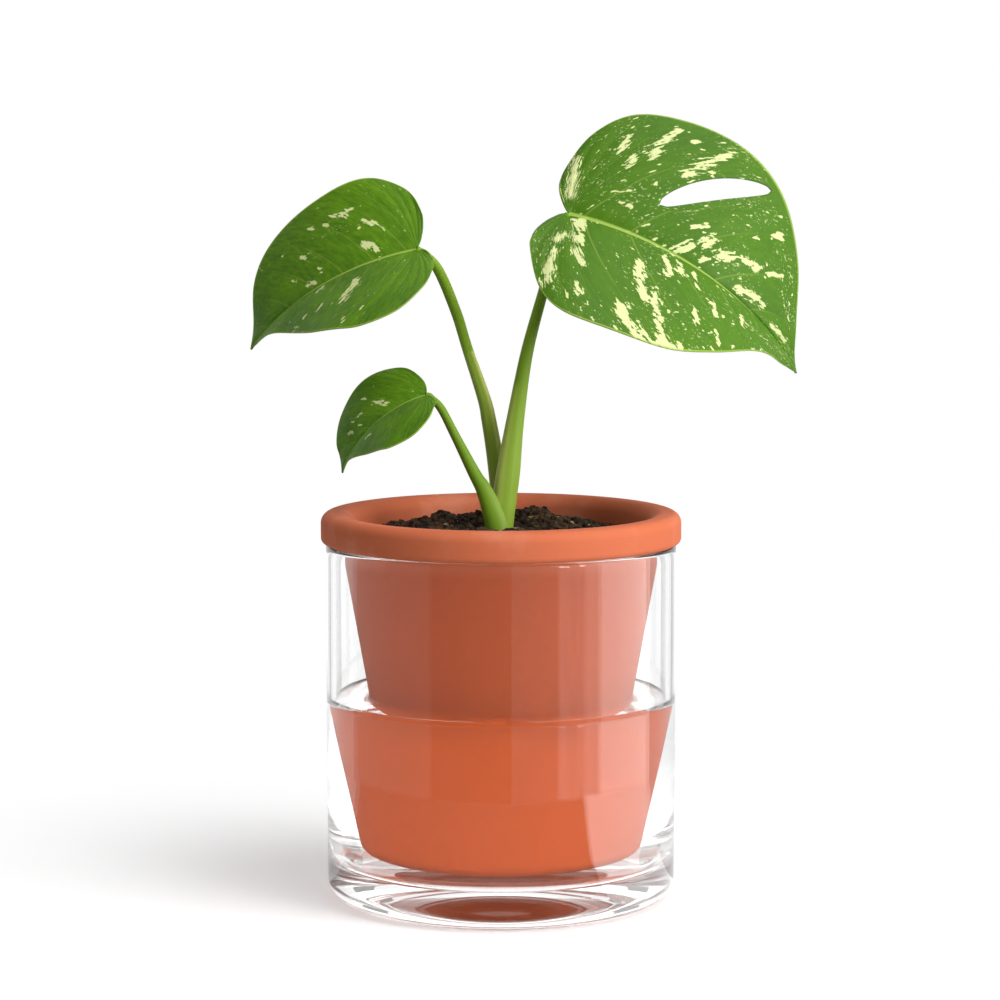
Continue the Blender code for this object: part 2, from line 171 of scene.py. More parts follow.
# How deep a stalk starts in the soil, its radius at the blade, and the swelling just under the blade as its
# share of the radius and its place and breadth along the stalk
STALK_START = -7.0
STALK_TIP = 1.35
KNEE_SWELL = 0.28
KNEE_PLACE = 0.965
KNEE_BREADTH = 0.022

# Leaf blades: margin points in millimetres along and across the midrib, from the stalk to the tip, and cream
# marks as the two ends and the half width of each streak
BLADES = {
    "right": {
        "joint": (26.2, 6.0, 121.1),
        "length": 120.0,
        "bearing": -16.3,
        "rise": -12.2,
        "roll": -45.8,
        "arch_radius": 99.0,
        "fold": 0.23,
        "droop_radius": 337.0,
        "sides": (
            ((-4, 5), (-7.5, 12), (-7.5, 20), (-2, 36), (10, 50), (28, 56.5), (47, 57.5), (64, 53),
             (79, 44.5), (92, 31.5), (103, 13), (110, 4.5)),
            ((-4, -3), (-7.5, -9), (-8, -18), (-6, -26), (3.5, -43.5), (16, -52.5), (34.5, -52.5),
             (54, -46.5), (72, -33), (88, -18), (98, -11), (108, -6)),
        ),
        "slot": {"side": 0, "margin": 0.65, "inside": (0.222, 0.889), "half_width": 4.3, "reach": 16.0},
        "flecks": 0.56,
        "deep": 0.65,
        "marks": (
            ((-4.5, 23), (-2.2, 8), 1.9), ((10, 31), (11, 40), 1.2), ((14.5, 26), (15.5, 31), 1.3),
            ((21.5, 34), (22.5, 42), 1.6), ((23, 43), (27, 51), 1.5), ((24, 28), (25, 28.5), 0.9),
            ((36, 32.5), (40, 41), 2.2), ((40, 41), (47, 50), 1.5), ((33, 48), (34.5, 49), 0.9),
            ((42, 54), (43.5, 54.5), 0.8), ((44, 2), (56, 13.5), 2.1), ((46, 13.5), (51, 17), 0.8),
            ((56, 4.5), (66, 13.5), 1.8), ((66, 13.5), (77, 15.5), 1.5), ((77, 15.5), (88, 21), 0.9),
            ((73, 2.5), (82, 5.5), 1.5), ((82, 5.5), (87, 5.5), 0.9), ((94, 2.2), (104, 2.8), 0.9),
            ((77, 32.5), (80, 34.5), 1.2), ((6, -3), (8, -14), 2.2), ((10, -20), (14, -26), 1.8),
            ((3, -13), (1, -17), 1.6), ((2.5, -23), (3.2, -31), 1.2), ((3.2, -32), (5.2, -40), 1.9),
            ((15.5, -37), (17.5, -42), 1.1), ((13.5, -43), (14.5, -45), 0.9), ((33.2, -15), (38.5, -30), 2.2),
            ((42, -26), (46, -33), 1.5), ((32.5, -39), (37, -46), 2.2), ((37, -46), (46, -49), 2.6),
            ((46, -49), (58, -43), 1.7), ((47, -36), (52, -45), 1.9), ((41.8, -5.5), (45, -13), 1.5),
            ((47, -2.5), (49.5, -9), 1.1), ((54, -4), (56.5, -9.5), 0.9), ((58.5, -21), (60.5, -26), 1.2),
            ((64.5, -12), (67.5, -18), 0.9), ((70, -24), (72.5, -28), 0.8), ((79, -8.5), (80, -11), 0.8),
        ),
    },
    "left": {
        "joint": (-32.8, 14.0, 107.1),
        "length": 83.5,
        "bearing": 183.2,
        "rise": -11.2,
        "roll": 41.9,
        "arch_radius": 90.0,
        "fold": 0.22,
        "droop_radius": 346.0,
        "sides": (
            ((-3.5, 3.5), (-5, 8.5), (-4, 15.5), (1, 26.5), (11.5, 35.5), (26, 36.5), (35.5, 33),
             (45, 27), (54.5, 18.5), (65, 9), (72.5, 4.5)),
            ((-2, -5), (-4, -11), (-4.5, -17), (-1.5, -28), (6.5, -36.5), (15.5, -39.5), (29.5, -39),
             (46, -36.5), (58.5, -30.5), (69.5, -20.5), (77, -8)),
        ),
        "slot": None,
        "flecks": 0.615,
        "deep": 0.0,
        "marks": (
            ((20, -10), (14.8, -4.5), 1.3), ((17.5, -20), (15, -16), 0.9), ((14, -18), (10.5, -12), 0.5),
            ((24, -26.5), (20.5, -27), 1.1), ((29, -28), (23.5, -24), 0.8), ((32.5, -25.5), (31.5, -25), 0.9),
            ((38.5, -27), (37.5, -26.5), 0.8), ((45, -16.5), (43, -15), 0.8), ((40, -8), (39, -7), 0.7),
            ((46, -3.5), (43.5, -2.8), 1.0), ((52, -9), (50.5, -8), 0.6), ((43, 3.5), (39.5, 2.5), 0.7),
            ((24.5, 8.5), (31.5, 17.5), 1.4), ((43.5, 15.5), (40.5, 13), 0.6), ((50, 14.5), (49, 13.5), 0.6),
            ((32.5, 31), (31.5, 28), 0.6), ((25, 28.5), (24, 27), 0.5), ((55, 17.5), (53.5, 16.5), 0.8),
        ),
    },
    "low": {
        "joint": (-28.9, -12.0, 52.2),
        "length": 48.0,
        "bearing": 189.2,
        "rise": -16.6,
        "roll": 31.9,
        "arch_radius": 42.5,
        "fold": 0.21,
        "droop_radius": 92.0,
        "sides": (
            ((-1.5, 3), (-2.5, 6), (-1, 10), (3.5, 17.5), (11, 21.5), (20, 20.5), (24.5, 17.5),
             (30, 12.5), (35.5, 7), (41, 2.5)),
            ((-1, -3), (-1, -8), (2.5, -16.5), (8.5, -21), (16.5, -22.5), (25.5, -21.5), (34, -17.5),
             (41, -10), (44, -5)),
        ),
        "slot": None,
        "flecks": 0.64,
        "deep": 0.0,
        "marks": (
            ((18.8, -8.5), (15, -4.3), 0.9), ((27.5, -8.5), (25.5, -8.5), 0.5),
            ((30.5, -9.5), (29.5, -8.5), 0.4), ((28.5, -5), (27.5, -4), 0.4),
            ((34, -6.5), (32.5, -5.5), 0.7), ((28, 4), (25.5, 4.5), 0.6),
            ((22.5, -14.5), (21.5, -13.5), 0.5), ((16.2, -7.2), (15, -6.4), 0.4),
        ),
    },
}

# How the veins of a blade run: share of the margin fed from the stalk, arch, and even spacing
VEIN_FAN = 0.58
VEIN_ARCH = 0.13
COLUMN_EASE = 1.25
FIRST_ROW = 0.06
VEINS = 15

# Breadth of a side vein as a share of the spacing, of the midrib as a share of the way to the margin, how
# fast the margin's slow wave turns, and the lean and fullness of a slot's outline
VEIN_BREADTH = 0.07
MIDRIB_BREADTH = 0.03
EDGE_TURNS = 23.0
SLOT_LEAN = 0.85
SLOT_FULLNESS = 0.5

# Soil surface: how broad its mound is, how far apart its fine lumps are, and heaps with place, height and
# spread in millimetres
MOUND_BREADTH = 1.6
LUMP_PITCH = 9.0 * MM
SOIL_HEAPS = (
    ((10, 20), 3.6, 17.0),
    ((-22, 16), 2.2, 14.0),
    ((13, 19), 2.4, 8.0),
    ((-9, 22), 1.4, 7.0),
    ((-26, 13), 2.2, 8.0),
    ((30, 8), 2.2, 8.0),
    ((24, -12), 2.4, 8.0),
    ((6, -24), 2.0, 8.0),
    ((-15, -20), 2.4, 8.0),
    ((-32, -6), 2.0, 8.0),
    ((33, 28), 1.8, 7.0),
    ((12, 41), 2.0, 7.0),
    ((-18, 39), 2.0, 7.0),
    ((-41, 15), 1.8, 7.0),
    ((-36, -26), 2.0, 7.0),
    ((-10, -43), 2.0, 7.0),
    ((18, -40), 2.2, 7.0),
    ((41, -17), 1.8, 7.0),
)

# Where the stem stands from front to back, and the bare ring that it keeps
STEM_MIDDLE = -4.0 * MM
STEM_CLEARANCE = 12.0 * MM

# Crumbs and bark: share of the soil's radius that they cover, lowest and highest half sizes, tilt in radians,
# how uneven their lengths and corners are, and how far they stand out of the soil
SCATTER_SPREAD = 0.985
CRUMB_SIZES = ((0.35 * MM,) * 3, (2.1 * MM, 1.9 * MM, 1.5 * MM))
CRUMB_TILT = 3.0
BARK_SIZES = ((0.7 * MM, 0.5 * MM, 0.3 * MM), (3.0 * MM, 1.4 * MM, 0.7 * MM))
BARK_TILT = 1.0
UNEVEN_LENGTHS = (0.75, 1.3)
UNEVEN_CORNERS = (0.68, 1.22)
STAND_OUT = 0.30

# The floor's own glow near the object, to the eye and in glass, and where it fades to plain white; then the
# edges and the share of the bright heart under the base, the light given farther out, and the floor's extent
FLOOR_GLOW = 0.35
GLASS_GLOW = 0.9
FLOOR_FADE = (0.10, 0.30)
FLOOR_HEART = (0.064, 0.045)
HEART_GLOW = 0.8
FLOOR_BOUNCE = 0.25
FLOOR_RADIUS = 4.0
FLOOR_DROP = 0.2 * MM

# Light from all round on free surfaces, behind glass, and behind glass and water, which a ray is taken to
# have crossed when it has passed through more faces than WATER_DEPTH
WORLD_LIGHT = 0.24
GLASS_LIGHT = 1.5
WATER_LIGHT = 4.6
WATER_DEPTH = 4.5

# How often light may turn inside the thick glass before it is lost
GLASS_BOUNCES = 40

# Cards seen in glass: bearing from the front towards the right and width in degrees, near and far edge as
# distance and height, shade and glow
CARD_EDGES = ((0.30, 0.0), (0.30, 1.2))
FLOOR_EDGES = ((0.072, 0.0006), (0.30, 0.0006))
REAR_EDGES = ((0.45, 0.0), (0.45, 0.7))
MIRROR_CARDS = {
    "card_left": (-72.0, 60.0, *CARD_EDGES, 0.20, 0.30),
    "card_front": (-18.0, 48.0, *CARD_EDGES, 0.04, 0.22),
    "card_front_right": (20.0, 28.0, *CARD_EDGES, 0.20, 0.40),
    "card_streak": (43.0, 6.0, *CARD_EDGES, 0.50, 0.7),
    "card_soft_edge": (56.0, 10.0, *CARD_EDGES, 0.60, 1.1),
    "card_soft_right": (82.0, 42.0, *CARD_EDGES, 0.80, 2.3),
    "card_soft_floor": (77.0, 52.0, *FLOOR_EDGES, 0.80, 1.5),
    "card_floor": (-24.0, 150.0, *FLOOR_EDGES, 0.04, 0.28),
}
EDGE_CARDS = {
    "card_edge_left": (-152.0, 10.0, *REAR_EDGES, 0.15, 0.25),
    "card_edge_right": (152.0, 10.0, *REAR_EDGES, 0.15, 0.25),
}

# Lamps: place, width and height in metres and power in watts; all are turned to one target
LAMPS = {
    "key": ((1.28, -0.95, 0.45), (0.9, 0.8), 23.0),
    "fill": ((-1.2, -0.9, 0.6), (0.9, 1.1), 3.0),
    "top": ((0.6, -0.4, 1.35), (1.1, 1.1), 14.0),
}
LAMP_TARGET = (0.0, 0.0, 0.15)

# Camera: place in metres, how far it looks down in radians, and its lens in millimetres
CAMERA_PLACE = (-0.0004, -1.211, 0.2911)
CAMERA_TILT = 0.1116
CAMERA_LENS = 112.9


def length(name, description, default):
    """A length property in metres."""
    return FloatProperty(name=name, description=description, default=default, min=0.0, unit="LENGTH")


def colour(name, description, default):
    """A linear colour property."""
    return FloatVectorProperty(
        name=name, description=description, default=default, min=0.0, max=1.0, size=3, subtype="COLOR"
    )


class PLANTER_PG_vessel(PropertyGroup):
    """Sizes of the glass, the water and the pot."""

    glass_wall: length("Glass wall", "Thickness of the reservoir's wall", 3.5 * MM)
    glass_base: length("Glass base", "Thickness of the solid glass base", 14.5 * MM)
    foot_radius: length("Foot edge", "Rounding of the reservoir's outer foot", 8.0 * MM)
    floor_radius: length("Floor edge", "Rounding inside the reservoir's floor", 7.0 * MM)
    lip_radius: length("Lip", "Rounding of the glass lip", 1.6 * MM)
    punt_radius: length("Punt radius", "Radius of the shallow dome under the base", 44.0 * MM)
    punt_height: length("Punt height", "Height of the dome under the base", 8.5 * MM)
    water_overlap: length("Water overlap", "How far the water runs into the glass", 0.12 * MM)
    meniscus: length("Meniscus", "Rise of the water where it meets glass and clay", 1.2 * MM)
    meniscus_width: length("Meniscus width", "How fast the meniscus falls off", 1.5 * MM)
    rim_height: length("Rim height", "Height of the pot's flange", 11.7 * MM)
    rim_top_radius: length("Rim edge", "Rounding of the flange's upper edge", 4.0 * MM)
    rim_lower_radius: length("Rim lower edge", "Rounding of the flange's lower edge", 2.0 * MM)
    mouth_radius: length("Mouth", "Rounding into the pot's mouth", 6.0 * MM)
    neck_gap: length("Neck gap", "Gap from the pot's neck to the glass", 2.5 * MM)
    neck_radius: length("Neck", "Fillet under the flange", 1.5 * MM)
    pot_foot: length("Pot foot", "Radius of the pot's underside", 40.2 * MM)
    pot_foot_radius: length("Pot foot edge", "Rounding of the pot's foot", 5.0 * MM)
    pot_wall: length("Pot wall", "Thickness of the clay wall", 6.0 * MM)
    pot_floor: length("Pot floor", "Thickness of the clay floor", 8.0 * MM)


class PLANTER_PG_soil(PropertyGroup):
    """Sizes and counts of the soil."""

    edge_depth: length("Edge depth", "Depth of the soil's edge below the rim", 10.5 * MM)
    mound: length("Mound", "Height of the mound at the stem", 3.5 * MM)
    roughness: length("Roughness", "Height of the soil's fine lumps", 0.6 * MM)
    foot_gap: length("Foot gap", "Gap from the soil's foot to the pot's wall", 1.5 * MM)
    crumbs: IntProperty(name="Crumbs", description="Number of loose crumbs", default=6000, min=1)
    bark: IntProperty(name="Bark chips", description="Number of bark chips", default=420, min=1)
    seed: IntProperty(name="Seed", description="Seed of the scatter", default=11)


class PLANTER_PG_plant(PropertyGroup):
    """Sizes of the leaves and stalks."""

    blade_thickness: length("Blade thickness", "Thickness of a leaf blade", 0.5 * MM)
    vein_relief: length("Vein relief", "Depth of the side veins in a blade", 0.22 * MM)
    quilting: length("Quilting", "Swell of the blade between its side veins", 0.45 * MM)
    midrib_relief: length("Midrib relief", "Depth of the groove over the midrib", 0.7 * MM)
    edge_wave: length("Edge wave", "Height of the slow wave along the margin", 1.0 * MM)


class PLANTER_PG_colours(PropertyGroup):
    """Colours of the finishes."""

    clay: colour("Dry clay", "Terracotta of the rim", (0.60, 0.150, 0.066))
    clay_pale: colour("Pale clay", "Dusty bloom on the terracotta", (0.68, 0.235, 0.14))
    clay_damp: colour("Damp clay", "Terracotta between rim and water", (0.44, 0.078, 0.020))
    clay_wet: colour("Wet clay", "Terracotta under water", (0.50, 0.080, 0.014))
    soil_dark: colour("Dark soil", "Damp potting mix", (0.016, 0.009, 0.004))
    soil_light: colour("Light soil", "Dry crumbs of the mix", (0.07, 0.036, 0.015))
    bark: colour("Bark", "Bark chips and husk", (0.42, 0.27, 0.12))
    leaf_green: colour("Leaf green", "Main green of the blades", (0.125, 0.275, 0.007))
    leaf_deep: colour("Deep green", "Darker green of the blades", (0.050, 0.140, 0.005))
    leaf_cream: colour("Cream", "Pale marks on the blades", (0.70, 0.74, 0.35))
    leaf_rib: colour("Rib", "Midrib and side veins", (0.36, 0.50, 0.085))
    leaf_under: colour("Underside", "Paler underside of the blades", (0.17, 0.30, 0.06))
    stalk: colour("Stalk", "Main green of the stalks", (0.20, 0.36, 0.016))
    stalk_pale: colour("Pale stalk", "Sheaths at the foot of the stalks", (0.58, 0.66, 0.16))
    root: colour("Root", "Crown and roots", (0.35, 0.24, 0.11))


def rounded_profile(corners):
    """Points of a profile whose (radius, height, fillet) corners are turned into arcs.

    A fillet's centre lies on the corner's bisector, and its points are spread evenly over the angle between
    the two tangent points. Straight runs are then split so that no span is longer than LONGEST_SPAN.
    """
    points = []
    corners = np.asarray(corners, float)
    for index, (radius, height, fillet) in enumerate(corners):
        here = np.array((radius, height))
        if fillet <= 0.0:
            points.append(here[None])
            continue
        back = corners[index - 1, :2] - here
        ahead = corners[index + 1, :2] - here
        back /= np.linalg.norm(back)
        ahead /= np.linalg.norm(ahead)
        half = math.acos(np.clip(back @ ahead, -1.0, 1.0)) / 2
        bisector = (back + ahead) / np.linalg.norm(back + ahead)
        center = here + bisector * fillet / math.sin(half)
        first = here + back * fillet / math.tan(half) - center
        turn = math.pi - 2 * half
        if first[1] * back[0] - first[0] * back[1] < 0:
            turn = -turn
        angles = np.linspace(0.0, turn, ARC_STEPS + 1)
        x = first[0] * np.cos(angles) - first[1] * np.sin(angles)
        y = first[0] * np.sin(angles) + first[1] * np.cos(angles)
        points.append(center + np.column_stack((x, y)))
    return split_spans(np.vstack(points))


def split_spans(points):
    """The same polyline with extra points, evenly spaced, on every span longer than LONGEST_SPAN."""
    spans = np.linalg.norm(np.diff(points, axis=0), axis=1)
    pieces = np.maximum(1, np.ceil(spans / LONGEST_SPAN).astype(int))
    start = np.repeat(points[:-1], pieces, axis=0)
    step = np.repeat(np.diff(points, axis=0) / pieces[:, None], pieces, axis=0)
    count = np.arange(pieces.sum()) - np.repeat(np.cumsum(pieces) - pieces, pieces)
    return np.vstack((start + step * count[:, None], points[-1:]))


def turned(profile, segments=TURN_SEGMENTS):
    """Grid of a profile turned about Z: radius times cosine and sine of the angle, and the height."""
    angle = np.linspace(0.0, 2 * np.pi, segments, endpoint=False)[None]
    radius = profile[:, :1]
    height = np.repeat(profile[:, 1:], segments, axis=1)
    return np.stack((radius * np.cos(angle), radius * np.sin(angle), height), axis=-1)


def grid_quads(rows, columns, wraps):
    """Corner indices of a grid's quads; the last column joins the first where the grid wraps."""
    reach = columns if wraps else columns - 1
    row = np.arange(rows - 1)[:, None] * columns
    column = np.arange(reach)[None]
    after = (column + 1) % columns
    corners = (row + column, row + columns + column, row + columns + after, row + after)
    return np.stack(corners, axis=-1).reshape(-1, 4)


def spline(points, places):
    """Catmull-Rom curve through points, at places from 0 to 1 along it."""
    points = np.asarray(points, float)
    padded = np.vstack((2 * points[0] - points[1], points, 2 * points[-1] - points[-2]))
    spans = len(points) - 1
    index = np.minimum((places * spans).astype(int), spans - 1)
    t = (places * spans - index)[:, None]
    a, b, c, d = (padded[index + shift] for shift in range(4))
    return 0.5 * (2 * b + (c - a) * t + (2 * a - 5 * b + 4 * c - d) * t**2 + (3 * b - a - 3 * c + d) * t**3)


def waves(places, pitch, seed, octaves=4):
    """Smooth noise near -1 to 1: sine waves in seeded directions, each octave half as long and high."""
    rng = np.random.default_rng(seed)
    total = np.zeros(places.shape[:-1])
    for octave in range(octaves):
        for _ in range(3):
            direction = rng.normal(size=places.shape[-1])
            direction *= 2 * np.pi * 2**octave / (pitch * np.linalg.norm(direction))
            total += np.sin(places @ direction + rng.uniform(0, 2 * np.pi)) / 2**octave
    return total / 3.0


def make_piece(
    name, vertices, faces, materials, body, nodes, layers=None, uv=None, closed=True, smooth=True
):
    """Put arrays of vertices and faces into an object that rides on a body and stands for CAD nodes."""
    mesh = bpy.data.meshes.new(name)
    mesh.from_pydata(vertices.reshape(-1, 3).tolist(), [], faces.tolist())
    for layer, values in (layers or {}).items():
        attribute = mesh.attributes.new(layer, "FLOAT", "POINT")
        attribute.data.foreach_set("value", np.ravel(values).astype(np.float32))
    if uv is not None:
        corners = np.zeros(len(mesh.loops), np.int32)
        mesh.loops.foreach_get("vertex_index", corners)
        coordinates = uv.reshape(-1, 2)[corners].astype(np.float32)
        mesh.uv_layers.new(name="UVMap").data.foreach_set("uv", coordinates.ravel())
    clean_mesh(mesh, closed)
    mesh.polygons.foreach_set("use_smooth", np.full(len(mesh.polygons), smooth))
    for material in materials:
        mesh.materials.append(material)
    piece = bpy.data.objects.new(name, mesh)
    bpy.context.scene.collection.objects.link(piece)
    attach(piece, body)
    if nodes:
        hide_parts(*nodes)
    return piece


def clean_mesh(mesh, closed):
    """Join the points that meet at seams and poles, and turn a closed body's faces outwards."""
    shape = bmesh.new()
    shape.from_mesh(mesh)
    bmesh.ops.remove_doubles(shape, verts=shape.verts, dist=WELD)
    if closed:
        bmesh.ops.recalc_face_normals(shape, faces=shape.faces)
    shape.to_mesh(mesh)
    shape.free()


def math_value(tree, operation, first, second=0.0):
    """A math node's value in a node tree, from two numbers or sockets."""
    made = tree.nodes.new("ShaderNodeMath")
    made.operation = operation
    for socket, value in zip(made.inputs, (first, second)):
        if isinstance(value, bpy.types.NodeSocket):
            tree.links.new(value, socket)
        else:
            socket.default_value = value
    return made.outputs["Value"]


class Finish:
    """One material's node tree, with short ways to add, link and shape its nodes."""

    def __init__(self, name):
        self.material = bpy.data.materials.new(name)
        self.material.use_nodes = True
        self.tree = self.material.node_tree
        self.shader = self.tree.nodes["Principled BSDF"]

    def node(self, kind, settings=None, **inputs):
        """Add a node; settings are its own properties, inputs are values or sockets for its inputs."""
        made = self.tree.nodes.new(kind)
        for key, value in (settings or {}).items():
            setattr(made, key, value)
        for key, value in inputs.items():
            self.feed(made.inputs[key.replace("_", " ")], value)
        return made

    def feed(self, socket, value):
        """Link a socket into an input, or set the input's own value."""
        if isinstance(value, bpy.types.NodeSocket):
            self.tree.links.new(value, socket)
        else:
            socket.default_value = value

    def surface(self, **inputs):
        """Set the shader's inputs."""
        for key, value in inputs.items():
            self.feed(self.shader.inputs[key.replace("_", " ")], value)

    def coordinates(self, kind, stretch):
        """Object or UV coordinates, stretched along each axis."""
        source = self.node("ShaderNodeTexCoord").outputs[kind]
        return self.node("ShaderNodeMapping", Vector=source, Scale=stretch).outputs["Vector"]

    def noise(self, vector, scale, detail=4.0, roughness=0.55):
        """A noise texture's value."""
        made = self.node("ShaderNodeTexNoise", Vector=vector, Scale=scale, Detail=detail, Roughness=roughness)
        return made.outputs["Fac"]

    def ramp(self, value, low, high):
        """A smooth step of a value from low to high."""
        made = self.node("ShaderNodeMapRange", {"interpolation_type": "SMOOTHSTEP"}, Value=value)
        made.inputs["From Min"].default_value = low
        made.inputs["From Max"].default_value = high
        return made.outputs["Result"]

    def math(self, operation, first, second=0.0):
        """A math node's value."""
        return math_value(self.tree, operation, first, second)

    def mix(self, share, first, second):
        """Mix two colours."""
        made = self.node("ShaderNodeMix", {"data_type": "RGBA"})
        self.feed(made.inputs["Factor"], share)
        self.feed(made.inputs[6], first if isinstance(first, bpy.types.NodeSocket) else (*first, 1.0))
        self.feed(made.inputs[7], second if isinstance(second, bpy.types.NodeSocket) else (*second, 1.0))
        return made.outputs[2]

    def bump(self, height, depth, strength=1.0, normal=None):
        """A bump whose full height is depth in metres."""
        made = self.node("ShaderNodeBump", Height=height, Distance=depth, Strength=strength)
        if normal is not None:
            self.feed(made.inputs["Normal"], normal)
        return made.outputs["Normal"]


def glass_finish():
    """Clear glass with the faint waviness of a drawn wall."""
    finish = Finish("clear_glass")
    wave = finish.noise(finish.coordinates("Object", (1.0, 1.0, 0.35)), 32.0, 1.0)
    finish.surface(
        Base_Color=(0.995, 0.998, 0.997, 1.0),
        Roughness=0.0,
        IOR=1.5,
        Transmission_Weight=1.0,
        Normal=finish.bump(wave, 0.10 * MM, 0.5),
    )
    return finish.material


def water_finish():
    """Still clear water."""
    finish = Finish("clear_water")
    finish.surface(Base_Color=(0.995, 0.998, 1.0, 1.0), Roughness=0.0, IOR=1.333, Transmission_Weight=1.0)
    return finish.material


def clay_finish(colours, level, under):
    """Unglazed terracotta: cloudy tone, fine grit, faint turning marks, a damp wall and a wet foot."""
    finish = Finish("unglazed_terracotta")
    place = finish.coordinates("Object", (1.0, 1.0, 1.0))
    cloud = finish.noise(place, 28.0, 5.0, 0.6)
    bloom = finish.ramp(cloud, 0.48, 0.78)
    dry = finish.mix(bloom, colours.clay, colours.clay_pale)
    speck = finish.ramp(finish.noise(place, 900.0, 2.0), 0.66, 0.74)
    dry = finish.mix(finish.math("MULTIPLY", speck, 0.22), dry, colours.clay_wet)
    height = finish.node("ShaderNodeSeparateXYZ", Vector=place).outputs["Z"]
    uneven = finish.math("MULTIPLY", finish.math("SUBTRACT", cloud, 0.5), 4.0 * MM)
    height = finish.math("ADD", height, uneven)
    wet = finish.ramp(height, level + 4.0 * MM, level - 3.0 * MM)
    damp = finish.ramp(height, under + 1.0 * MM, under - 8.0 * MM)
    base = finish.mix(wet, finish.mix(damp, dry, colours.clay_damp), colours.clay_wet)
    grit = finish.bump(finish.noise(place, 1500.0, 3.0, 0.65), 0.12 * MM, 0.55)
    turning = finish.noise(finish.coordinates("Object", (6.0, 6.0, 420.0)), 1.0, 2.0)
    finish.surface(
        Base_Color=base,
        Roughness=finish.math("ADD", finish.math("MULTIPLY", cloud, 0.12), 0.62),
        Specular_IOR_Level=0.10,
        Normal=finish.bump(turning, 0.10 * MM, 0.35, grit),
    )
    return finish.material


def soil_finish(colours):
    """Damp dark mix: two earth tones in clods, with a grainy bump."""
    finish = Finish("potting_mix")
    place = finish.coordinates("Object", (1.0, 1.0, 1.0))
    clods = finish.ramp(finish.noise(place, 260.0, 4.0, 0.7), 0.42, 0.72)
    finish.surface(
        Base_Color=finish.mix(clods, colours.soil_dark, colours.soil_light),
        Roughness=0.95,
        Specular_IOR_Level=0.2,
        Normal=finish.bump(finish.noise(place, 700.0, 4.0, 0.7), 0.8 * MM, 0.9),
    )
    return finish.material


def crumb_finish(name, colours, pale, start):
    """Loose crumbs or bark: each bit's own tone runs from dark soil to the pale colour, from a start on."""
    finish = Finish(name)
    tone = finish.node("ShaderNodeAttribute", {"attribute_name": "tone"}).outputs["Fac"]
    place = finish.coordinates("Object", (1.0, 1.0, 1.0))
    grain = finish.noise(place, 800.0, 4.0, 0.7)
    dark = finish.mix(finish.ramp(tone, 0.25, 0.85), colours.soil_dark, colours.soil_light)
    base = finish.mix(finish.ramp(finish.math("ADD", tone, grain), start, start + 0.3), dark, pale)
    finish.surface(
        Base_Color=base,
        Roughness=0.9,
        Specular_IOR_Level=0.25,
        Normal=finish.bump(grain, 0.35 * MM, 0.8),
    )
    return finish.material


def stalk_finish(name, colours, deep):
    """Smooth green stalk with long fine streaks, and a paler sheath."""
    finish = Finish(name)
    streak = finish.noise(finish.coordinates("UV", (16.0, 2.2, 1.0)), 1.0, 3.0)
    wing = finish.node("ShaderNodeAttribute", {"attribute_name": "wing"}).outputs["Fac"]
    light = finish.mix(finish.ramp(streak, 0.40, 0.75), colours.stalk, colours.leaf_rib)
    base = finish.mix(finish.math("MULTIPLY", streak, 0.55), colours.stalk, light)
    base = finish.mix(deep, base, colours.leaf_deep)
    base = finish.mix(wing, base, colours.stalk_pale)
    ridges = finish.noise(finish.coordinates("UV", (60.0, 3.0, 1.0)), 1.0, 2.0)
    finish.surface(
        Base_Color=base,
        Roughness=0.42,
        Specular_IOR_Level=0.14,
        Normal=finish.bump(ridges, 0.08 * MM, 0.5),
    )
    return finish.material


